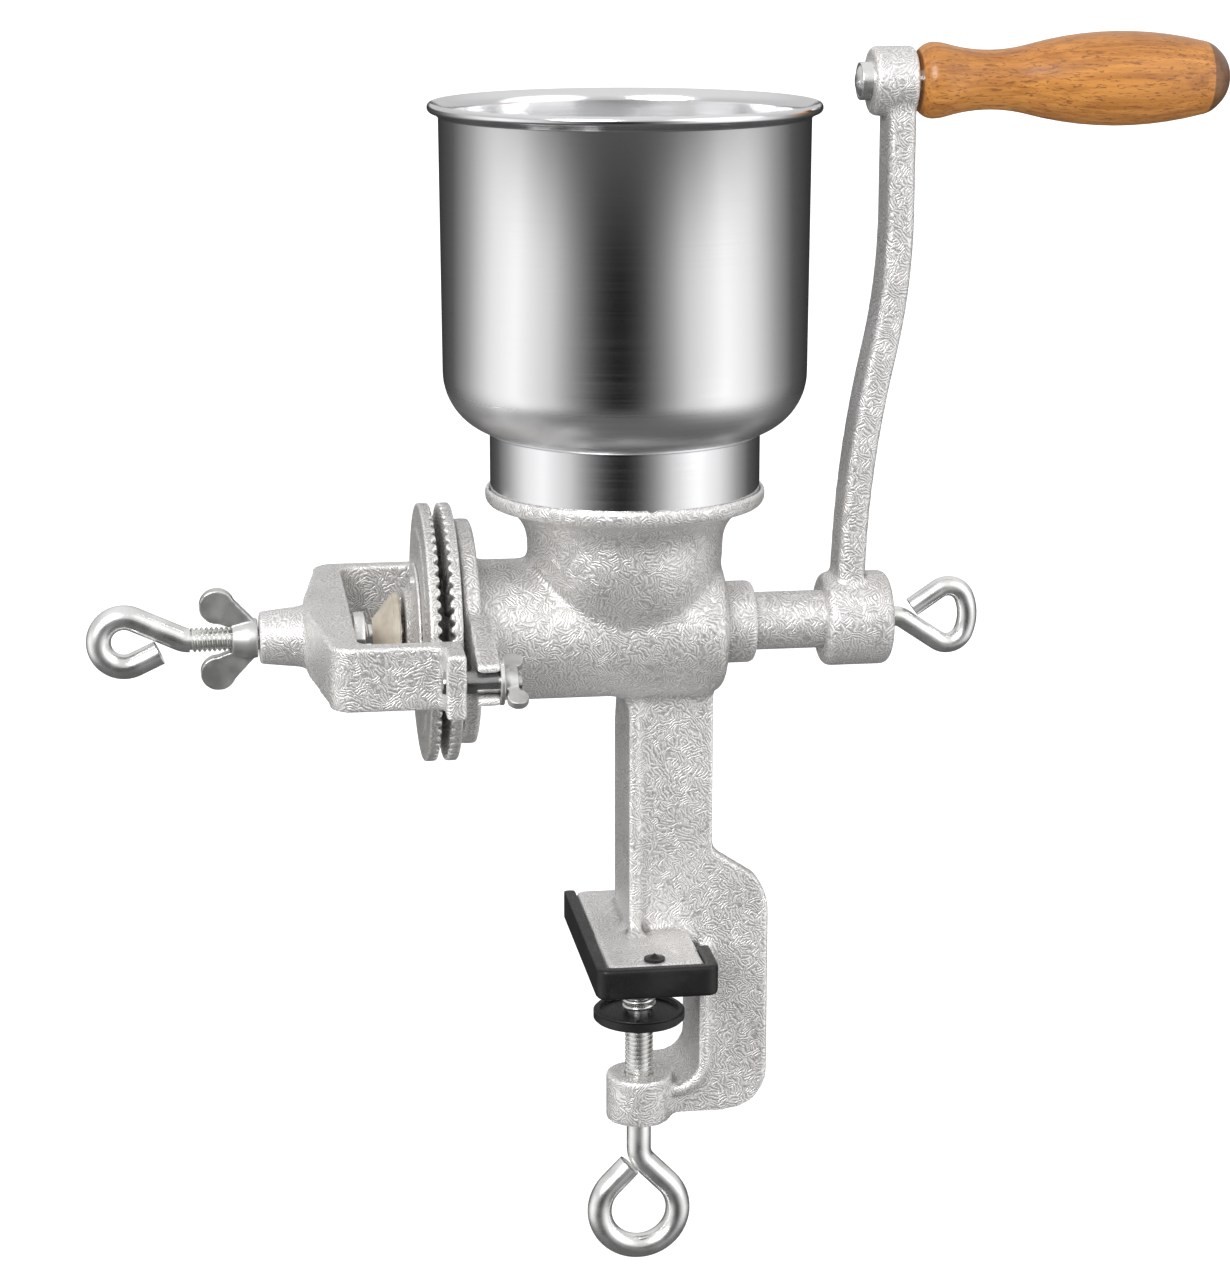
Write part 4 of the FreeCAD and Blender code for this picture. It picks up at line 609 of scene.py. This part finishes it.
nylon = cream_nylon("cream_nylon")
plated("thrust_ball")
washer = bmesh.new()
turned(
    washer,
    curve(
        (WASHER_FRONT, WASHER_HOLE), (WASHER_BACK, WASHER_HOLE),
        (WASHER_BACK, WASHER_RADIUS - WASHER_EDGE),
        (WASHER_BACK - WASHER_EDGE, WASHER_RADIUS, -WASHER_EDGE),
        (WASHER_FRONT + WASHER_EDGE, WASHER_RADIUS),
        (WASHER_FRONT, WASHER_RADIUS - WASHER_EDGE, -WASHER_EDGE),
    ),
    "X", (0, 0, AXIS), steps=96,
)
dress("thrust_plate", closed(washer), nylon, "thrust", "thrust_washer")
cup = bmesh.new()
turned(
    cup,
    curve(
        (CUP_TIP, CUP_BORE), (CUP_TIP, CUP_NOSE - 0.7), (CUP_TIP + 0.4, CUP_NOSE, -0.5),
        (CUP_STEP, CUP_RADIUS - 0.1), (WASHER_FRONT, CUP_RADIUS, -0.5), (WASHER_FRONT, 3.1),
        (CUP_POCKET, 0.6, -CUP_BORE), (CUP_POCKET, CUP_BORE),
    ),
    "X", (0, 0, AXIS), steps=96,
)
dress("thrust_cone", closed(cup), nylon, "thrust", "thrust_cup")


# Yoke: bridge, arms, lugs and long boss in one tinned casting that bolts to the body's ears.
# Softened as the body is; the bore and the stud holes stay as drilled.

YOKE_BORE = 6.5
STUD_HOLE = 8.0


def yoke_bore(x, y, z):
    """The bore for the adjusting screw and the two stud holes stay as drilled."""
    holes = (np.abs(y) > EAR_INNER) & (np.hypot(np.abs(y) - STUD_CIRCLE, z - AXIS) < STUD_HOLE)
    return np.where((np.hypot(y, z - AXIS) < YOKE_BORE) | holes, 0, 1)


yoke = softened("yoke", voxel=0.85, rounds=20, edge=0.3, keep=yoke_bore)
dress("yoke_cast", yoke, iron, "casting", "yoke")


# Studs, washers and wing nuts: a stud of dark turned steel, 9 mm thick, through each lug and ear.
# Behind the ear it holds a bright plain washer and a small pressed wing nut, both zinc plated.

TILT = math.radians(2.5)
EAR_BACK = -66.2
LUG_FRONT = -87.3
STUD, STUD_TAIL, TAIL_LENGTH = 4.5, 3.8, 8.8
PLAIN_THICKNESS, PLAIN_RADIUS, PLAIN_HOLE = 1.7, 9.3, 4.8


def stud_centre(side):
    """Where a stud's axis stands, in front at -1 and behind at 1."""
    return Vector((
        0, side * STUD_CIRCLE * math.cos(TILT), AXIS + side * STUD_CIRCLE * math.sin(TILT)
    ))


studs = bmesh.new()
stud_profile = curve(
    (LUG_FRONT - 1.4, 0), (LUG_FRONT - 1.4, STUD - 1.2), (LUG_FRONT - 0.6, STUD - 0.2, -1.0),
    (LUG_FRONT + 0.2, STUD), (EAR_BACK + PLAIN_THICKNESS, STUD),
    (EAR_BACK + PLAIN_THICKNESS, STUD_TAIL), (EAR_BACK + TAIL_LENGTH - 0.8, STUD_TAIL),
    (EAR_BACK + TAIL_LENGTH, STUD_TAIL - 0.6), (EAR_BACK + TAIL_LENGTH, 0),
)
for side in (-1, 1):
    turned(studs, stud_profile, "X", stud_centre(side), steps=40)
turned_steel = zinc_steel("turned_steel", dark=0.3, light=0.5, smoothest=0.16, roughest=0.24)
dress("stud_pair", closed(studs), turned_steel, "casting", "yoke_studs")

pressed_zinc = zinc_steel(
    "pressed_zinc", dark=0.5, light=0.72, smoothest=0.34, roughest=0.44, metal=0.9
)
plain_profile = curve(
    (EAR_BACK, PLAIN_HOLE), (EAR_BACK, PLAIN_RADIUS - 0.2), (EAR_BACK + 0.2, PLAIN_RADIUS),
    (EAR_BACK + PLAIN_THICKNESS - 0.3, PLAIN_RADIUS),
    (EAR_BACK + PLAIN_THICKNESS, PLAIN_RADIUS - 0.3), (EAR_BACK + PLAIN_THICKNESS, PLAIN_HOLE),
)
for side, name in ((-1, "front"), (1, "back")):
    plain = bmesh.new()
    turned(plain, plain_profile, "X", stud_centre(side), steps=48)
    dress(f"plain_washer_{name}", closed(plain), zinc, f"{name}_washer", f"yoke_washer_{name}")
    wings = softened(f"yoke_wing_nut_{name}", voxel=0.3, rounds=7, edge=0.35)
    dress(f"small_wings_{name}", wings, pressed_zinc, f"{name}_nut", f"yoke_wing_nut_{name}")


# Adjusting screw and jam nut: M10 eye bolt of zinc-plated bar through the yoke's boss, with a long
# loop for turning by hand. Its journal pushes the thrust cup towards the discs, and a plain
# hexagon nut sits on its inner end.

SCREW_TIP, JOURNAL_END, SCREW_FOOT, SCREW_APEX = -104.3, -110.6, -183.4, -186.0
SCREW_ROD, SCREW_CORE = 5.0, 4.0
JAM_START, JAM_LENGTH, JAM_FLATS, JAM_CHAMFER = -118.0, 4.6, 17.0, 0.5

screw = bmesh.new()
screw_loop = eye(
    SCREW_APEX, shank=2.0, radius=10.2, half_angle=25.0, rod=SCREW_ROD, bend=9.0, way=-1, side=1
)
bar(screw, screw_loop, SCREW_ROD, height=AXIS)
turned(
    screw,
    curve(
        (SCREW_TIP, 0), (SCREW_TIP, SCREW_CORE - 0.5), (SCREW_TIP - 0.5, SCREW_CORE, -0.5),
        (JOURNAL_END, SCREW_CORE), (SCREW_APEX - 0.5, SCREW_CORE), (SCREW_APEX - 0.5, 0),
    ),
    "X", (0, 0, AXIS), steps=40,
)
thread(screw, (SCREW_FOOT, 0, AXIS), (1, 0, 0), SCREW_ROD, BAR_PITCH, turns=35.5)
dress("adjusting_bolt", closed(screw), zinc, "adjuster", "adjusting_screw")

hexagon = bmesh.new()
bmesh.ops.create_circle(
    hexagon, cap_ends=True, segments=6, radius=JAM_FLATS / math.sqrt(3),
    matrix=Matrix.Translation((JAM_START, 0, AXIS)) @ Matrix.Rotation(math.radians(90), 4, "Y"),
)
raised = bmesh.ops.extrude_face_region(hexagon, geom=hexagon.faces[:])["geom"]
raised = [item for item in raised if isinstance(item, bmesh.types.BMVert)]
bmesh.ops.translate(hexagon, verts=raised, vec=(JAM_LENGTH, 0, 0))
bmesh.ops.bevel(
    hexagon, geom=hexagon.edges[:], offset=JAM_CHAMFER, segments=2, profile=0.5,
    affect="EDGES", material=-1,
)
dress("jam_hexagon", closed(hexagon), zinc, "adjuster", "jam_nut")


# Lock wing nut: a large pressed wing nut that locks the adjusting screw against the yoke's boss.
# Its two round lobes are swept outwards.

large_wings = softened("lock_wing_nut", voxel=0.4, rounds=8, edge=0.35)
dress("lock_wings", large_wings, pressed_zinc, "lock_nut", "lock_wing_nut")


# Crank arm: tinned casting, a bar bent outwards between a hub at each end. It slides on the feed
# screw's square end and is held there by the eye screw. The bowl's steel doesn't mirror it.

GRIP_Z = 364.0
AXLE_HOLE = 5.5
HUB_INNER, HUB_SQUARE = 13.0, 4.0


def crank_bores(x, y, z):
    """The square hole and the axle's hole stay as machined."""
    square = (np.hypot(y, z - AXIS) < HUB_INNER) & (np.abs(y) < HUB_SQUARE)
    return np.where(square | (np.hypot(y, z - GRIP_Z) < AXLE_HOLE), 0, 1)


arm = softened("crank_arm", voxel=0.85, rounds=18, keep=crank_bores)
crank = dress("crank_cast", arm, iron, "drive", "crank_arm")
crank.visible_glossy = False


# Crank eye screw and washer: M8 eye bolt, zinc plated, screwed into the shaft's end over a flat
# washer. Its eye is turned by hand and is bent with two corners and a flatter far end.

FLAT_START, FLAT_END, FLAT_RADIUS, FLAT_HOLE = 103.8, 105.4, 9.0, 4.4
BOLT_TIP, BOLT_NECK, BOLT_APEX = 79.8, 106.6, 109.4
BOLT_ROD, BOLT_CORE, BOLT_PITCH = 4.1, 3.45, 1.25

crank_plain = bmesh.new()
turned(
    crank_plain,
    curve(
        (FLAT_START, FLAT_HOLE), (FLAT_START, FLAT_RADIUS - 0.2),
        (FLAT_START + 0.2, FLAT_RADIUS), (FLAT_END - 0.3, FLAT_RADIUS),
        (FLAT_END, FLAT_RADIUS - 0.3), (FLAT_END, FLAT_HOLE),
    ),
    "X", (0, 0, AXIS), steps=48,
)
dress("crank_plain_washer", closed(crank_plain), zinc, "crank_washer_body", "crank_washer")

crank_bolt = bmesh.new()
bolt_loop = eye(
    BOLT_APEX, shank=3.6, radius=12.2, half_angle=34.0, rod=BOLT_ROD, bend=6.0, way=1, side=-1,
    tight=0.62, reach=28.88,
)
bar(crank_bolt, bolt_loop, BOLT_ROD, height=AXIS)
turned(
    crank_bolt,
    curve(
        (BOLT_TIP, 0), (BOLT_TIP, BOLT_CORE - 0.55), (BOLT_TIP + 0.7, BOLT_CORE),
        (BOLT_NECK, BOLT_CORE), (BOLT_NECK, 0),
    ),
    "X", (0, 0, AXIS), steps=40,
)
thread(crank_bolt, (BOLT_TIP + 1.2, 0, AXIS), (1, 0, 0), BOLT_ROD, BOLT_PITCH, turns=19.5)
dress("crank_eye_bolt", closed(crank_bolt), zinc, "crank_eye", "crank_eye_screw")


# Grip axle: polished steel pin riveted through the crank's upper hub, with a domed head. Its
# sprung end sits in a pocket inside the grip.

AXLE_HEAD, HUB_END = 86.63, 110.63
AXLE_END = HUB_END + 100.0
AXLE, HEAD_RADIUS, SPRUNG_RADIUS = 4.0, 7.6, 5.2

axle = bmesh.new()
turned(
    axle,
    curve(
        (AXLE_HEAD, 0), (AXLE_HEAD + 1.9, HEAD_RADIUS - 1.5, -10.7),
        (AXLE_HEAD + 1.6, HEAD_RADIUS - 0.6), (AXLE_HEAD + 2.1, HEAD_RADIUS, -0.6),
        (AXLE_HEAD + 6.0, HEAD_RADIUS), (AXLE_HEAD + 6.0, AXLE), (AXLE_END - 4.0, AXLE),
        (AXLE_END - 4.0, SPRUNG_RADIUS), (AXLE_END, SPRUNG_RADIUS), (AXLE_END, 0),
    ),
    "X", (0, 0, GRIP_Z), steps=64,
)
dress("axle_pin", closed(axle), zinc, "drive", "grip_axle")


# Grip: turned beech with a bead, a waist, a long belly and a domed end, bored for the axle, which
# it turns on. It is varnished, and the dark end grain shows on the dome.

GRIP_START = HUB_END + 1.7
GRIP_LENGTH = 128.8
GRIP_END = GRIP_START + GRIP_LENGTH
GRIP_BORE, GRIP_POCKET = 4.08, 5.55
BEAD, WAIST, BELLY = 15.2, 11.9, 18.9
BEAD_X = GRIP_START + 5.7
WAIST_X = GRIP_START + GRIP_LENGTH * 0.226
BELLY_X = GRIP_START + GRIP_LENGTH * 0.645
DOME_X = GRIP_END - 11.5
END_GRAIN_X = GRIP_END - 9.8
WAIST_SHARE = 0.3
BEECH_DARK, BEECH_LIGHT = (0.31, 0.105, 0.017), (0.63, 0.265, 0.048)
FLECK = (0.2, 0.062, 0.013)
END_GRAIN_DARK, END_GRAIN_LIGHT = (0.045, 0.018, 0.007), (0.15, 0.072, 0.032)


def stretched(tree, vector, *scale):
    """Coordinates scaled by a different amount along each axis."""
    return add(tree, "Mapping", Vector=vector, Scale=scale).outputs[0]


def beech(name):
    """Varnished beech along X: warm bands, fine dark wavy flecks, and end grain on the dome."""
    made, tree, shader, place = new_material(name, Coat_Weight=0.4, Coat_Roughness=0.18)
    bands = noise(tree, stretched(tree, place, 5, 60, 60), 1.6, 3.0, 1.2)
    streaks = noise(tree, stretched(tree, place, 24, 480, 480), 1.0, 3.0, 0.8)
    flecks = noise(tree, stretched(tree, place, 210, 1250, 1250), 1.0, 1.5, 0.9)
    dark = spread(tree, flecks, 0.56, 0.66)
    tone = reckon(
        tree, "MULTIPLY_ADD", spread(tree, streaks, 0.3, 0.7), 0.45,
        reckon(tree, "MULTIPLY", spread(tree, bands, 0.3, 0.7), 0.55),
    )
    wood = blend(tree, tone, BEECH_DARK, BEECH_LIGHT)
    spotted = blend(tree, reckon(tree, "MULTIPLY", dark, 0.75), wood, FLECK)
    reach = add(tree, "SeparateXYZ", Vector=place).outputs["X"]
    share = spread(tree, reach, (END_GRAIN_X - 0.4) * MM, (END_GRAIN_X + 0.4) * MM, 0.0, 0.8)
    end_grain = blend(tree, streaks, END_GRAIN_DARK, END_GRAIN_LIGHT)
    tree.links.new(blend(tree, share, spotted, end_grain), shader.inputs["Base Color"])
    pores = reckon(tree, "SUBTRACT", streaks, dark)
    bump = add(tree, "Bump", Strength=0.15, Distance=0.0001, Height=pores)
    tree.links.new(bump.outputs[0], shader.inputs["Normal"])
    tree.links.new(spread(tree, streaks, 0.3, 0.7, 0.34, 0.48), shader.inputs["Roughness"])
    return made


def grip_profile():
    """The grip's outline: bead, waist and belly are arcs that run into each other."""
    run_in, run_out = WAIST_X - BEAD_X, BELLY_X - WAIST_X
    first_sum = (run_in**2 + (BEAD - WAIST) ** 2) / (BEAD - WAIST) / 2
    second_sum = (run_out**2 + (BELLY - WAIST) ** 2) / (BELLY - WAIST) / 2
    waist_bend, belly_bend = second_sum * WAIST_SHARE, second_sum * (1 - WAIST_SHARE)
    bead_bend = first_sum - waist_bend
    bead_share = bead_bend / first_sum
    tail = BELLY - belly_bend + math.sqrt(belly_bend**2 - (DOME_X - BELLY_X) ** 2)
    return curve(
        (GRIP_START, GRIP_BORE),
        (GRIP_START, BEAD - 3.6),
        (GRIP_START + 0.6, BEAD - 2.5, -1.2),
        (BEAD_X, BEAD, -7.2),
        (BEAD_X + run_in * bead_share, BEAD - (BEAD - WAIST) * bead_share, -bead_bend),
        (WAIST_X + run_out * WAIST_SHARE, WAIST + (BELLY - WAIST) * WAIST_SHARE, waist_bend),
        (DOME_X, tail, -belly_bend),
        (DOME_X + 6.5, tail - 3.4, -11),
        (GRIP_END, 0, -14),
        (AXLE_END + 0.4, 0),
        (AXLE_END + 0.4, GRIP_POCKET),
        (AXLE_END - 4.4, GRIP_POCKET),
        (AXLE_END - 4.4, GRIP_BORE),
        turn=3.0,
    )


grip = bmesh.new()
turned(grip, grip_profile(), "X", (0, 0, GRIP_Z), steps=128)
dress("wooden_grip", closed(grip), beech("beech"), "handle", "grip")


# Hopper neck: a plain stainless band, rolled from sheet and spun true, that stands on the step
# inside the body's collar and holds the bowl.

SHEET = 0.9
NECK_FOOT, NECK_TOP, NECK_RADIUS = 196.7, 225.0, 54.8
DULLED_FOOT, DULLED_TOP = NECK_TOP + 12, NECK_TOP + 26
STEEL = (0.86, 0.86, 0.87, 1)


def stainless(name, shoulder_dulled=0.0):
    """Stainless sheet, spun and satin polished in fine rings, and duller on the bowl's shoulder."""
    made, tree, shader, place = new_material(
        name, Metallic=1.0, Base_Color=STEEL, Anisotropic=0.3, Anisotropic_Rotation=0.25
    )
    brushed = noise(tree, stretched(tree, place, 9, 9, 3800), 1.0, 3.0)
    bump = add(tree, "Bump", Strength=0.05, Distance=0.00003, Height=brushed)
    tangent = add(tree, "Tangent", direction_type="RADIAL", axis="Z")
    satin = spread(tree, brushed, 0.25, 0.75, 0.12, 0.19)
    level = add(tree, "SeparateXYZ", Vector=place).outputs["Z"]
    dulled = spread(tree, level, DULLED_FOOT * MM, DULLED_TOP * MM, shoulder_dulled, 0.0)
    tree.links.new(reckon(tree, "ADD", satin, dulled), shader.inputs["Roughness"])
    tree.links.new(bump.outputs[0], shader.inputs["Normal"])
    tree.links.new(tangent.outputs[0], shader.inputs["Tangent"])
    return made


steel = stainless("stainless_steel")
neck = bmesh.new()
turned(
    neck,
    curve(
        (NECK_FOOT, NECK_RADIUS - SHEET), (NECK_FOOT, NECK_RADIUS - 0.1),
        (NECK_FOOT + 0.1, NECK_RADIUS), (NECK_TOP - 0.2, NECK_RADIUS),
        (NECK_TOP, NECK_RADIUS - 0.2), (NECK_TOP, NECK_RADIUS - SHEET),
    ),
    "Z", (HOPPER_X, 0, 0), steps=192,
)
dress("neck_band", closed(neck), steel, "hopper", "hopper_neck")


# Hopper bowl: spun from stainless sheet over a former, with a rounded shoulder, a mouth that tucks
# into the neck and a rim rolled outwards.

SHOULDER = 25.0
BOWL_LOW, BOWL_HIGH = 73.5, 74.1
MOUTH = NECK_TOP - 7
RIM = NECK_TOP + 130.0
ROLL = 2.0

tuck = NECK_RADIUS - SHEET - 0.05
inset = BOWL_LOW - SHOULDER
wall_foot = NECK_TOP + SHOULDER
inner_shoulder = SHOULDER - SHEET
drop = math.sqrt(SHOULDER**2 - (tuck - inset) ** 2)
inner_drop = math.sqrt(inner_shoulder**2 - (tuck - SHEET - inset) ** 2)
bowl = bmesh.new()
turned(
    bowl,
    curve(
        (MOUTH, tuck), (wall_foot - drop, tuck), (wall_foot, BOWL_LOW, -SHOULDER),
        (RIM - 4, BOWL_HIGH), (RIM - ROLL, BOWL_HIGH + 3, 5), (RIM, BOWL_HIGH + 4.4, -ROLL),
        (RIM + ROLL, BOWL_HIGH + 3, -ROLL), (RIM - 3.2, BOWL_HIGH - SHEET, -6),
        (wall_foot, BOWL_LOW - SHEET), (wall_foot - inner_drop, tuck - SHEET, inner_shoulder),
        (MOUTH, tuck - SHEET),
    ),
    "Z", (HOPPER_X, 0, 0), steps=192,
)
spun_steel = stainless("spun_steel", shoulder_dulled=0.2)
dress("bowl_spun", closed(bowl), spun_steel, "hopper", "hopper_bowl")


# Stage: a floor, white where it is seen, below the reach of the clamp screw wound right down, a
# pale soft dome, two soft lamps and a camera at the view of the picture. Below the horizon the
# dome holds screens with dark gaps, which polished metal shows in place of the floor.

FORWARD = Vector((0.1402, 0.9610, -0.2385)).normalized()
LOOKED_AT = Vector((-0.0103, 0, 0.138))
DISTANCE = 1.318
LENS, SENSOR = 90.14, 36
FLOOR = -0.1635
FLOOR_GREY, FLOOR_GLOW = 0.78, 0.45
DOME_DARK, DOME_LOW, DOME_HIGH = 0.1, 0.62, 0.8
SCREEN_TURN = math.radians(-3.7)
SCREENS = (
    (0.0, 0.01), (0.015, 0.06), (0.06, 0.28), (0.14, 0.7), (0.33, 1.12), (0.5, 0.9), (0.7, 0.36),
    (0.85, 0.1), (1.0, 0.03),
)
LAMPS = (("key", (0.485, 0.747, -0.454), 2.1, 36), ("fill", (-0.7, 0.6, -0.35), 0.5, 60))

camera = bpy.data.objects.new("camera", bpy.data.cameras.new("camera"))
bpy.context.scene.collection.objects.link(camera)
camera.data.sensor_width = SENSOR
camera.data.lens = LENS
camera.data.clip_end = 100
camera.location = LOOKED_AT - FORWARD * DISTANCE
camera.rotation_euler = FORWARD.to_track_quat("-Z", "Y").to_euler()
bpy.context.scene.camera = camera

floor_shape = bmesh.new()
bmesh.ops.create_circle(
    floor_shape, cap_ends=True, radius=40, segments=64, matrix=Matrix.Translation((0, 0, FLOOR))
)
floor_mesh = bpy.data.meshes.new("floor")
floor_shape.to_mesh(floor_mesh)
floor_shape.free()
floor = bpy.data.objects.new("floor", floor_mesh)
bpy.context.scene.collection.objects.link(floor)
floor.visible_glossy = False
paint, paint_tree, paint_shader = new_material(
    "floor_paint", Base_Color=(FLOOR_GREY, FLOOR_GREY, FLOOR_GREY, 1), Roughness=0.9,
    Emission_Color=(1, 1, 1, 1),
)[:3]
sight = add(paint_tree, "LightPath").outputs
seen = reckon(paint_tree, "ADD", sight["Is Camera Ray"], sight["Is Glossy Ray"])
seen = reckon(paint_tree, "ADD", seen, sight["Is Transmission Ray"])
paint_tree.links.new(
    reckon(paint_tree, "MULTIPLY", seen, FLOOR_GLOW), paint_shader.inputs["Emission Strength"]
)
floor_mesh.materials.append(paint)

world = bpy.data.worlds.new("studio")
bpy.context.scene.world = world
world.use_nodes = True
sky = world.node_tree
sky.nodes.clear()
direction = add(sky, "TexCoord").outputs["Generated"]
level = add(sky, "VectorMath", operation="MULTIPLY", _0=direction, _1=(1, 1, 0))
level = add(sky, "VectorMath", operation="NORMALIZE", _0=level.outputs[0])
ahead = Matrix.Rotation(SCREEN_TURN, 3, "Z") @ Vector((FORWARD.x, FORWARD.y, 0)).normalized()
facing = add(sky, "VectorMath", operation="DOT_PRODUCT", _0=level.outputs[0], _1=ahead)
screens = add(sky, "ValToRGB")
sky.links.new(reckon(sky, "MULTIPLY_ADD", facing.outputs["Value"], 0.5, 0.5), screens.inputs[0])
ramp = screens.color_ramp
ramp.elements.remove(ramp.elements[1])
for index, (place, strength) in enumerate(SCREENS):
    stop = ramp.elements[0] if index == 0 else ramp.elements.new(place)
    stop.position = place
    stop.color = (strength, strength, strength, 1)
height = add(sky, "SeparateXYZ", Vector=direction).outputs["Z"]
below = blend(sky, spread(sky, height, -0.75, -0.4), (DOME_DARK,) * 3, screens.outputs[0])
above = blend(sky, spread(sky, height, 0.3, 0.8), (DOME_LOW,) * 3, (DOME_HIGH,) * 3)
dome = blend(sky, spread(sky, height, 0.06, 0.16), below, above)
studio = add(sky, "Background", Color=dome, Strength=1.0)
add(sky, "OutputWorld", Surface=studio.outputs[0])

for name, way, strength, angle in LAMPS:
    lamp = bpy.data.objects.new(name, bpy.data.lights.new(name, "SUN"))
    bpy.context.scene.collection.objects.link(lamp)
    lamp.data.energy = strength
    lamp.data.angle = math.radians(angle)
    lamp.rotation_euler = Vector(way).to_track_quat("-Z", "Y").to_euler()

bpy.context.scene.view_settings.view_transform = "Standard"
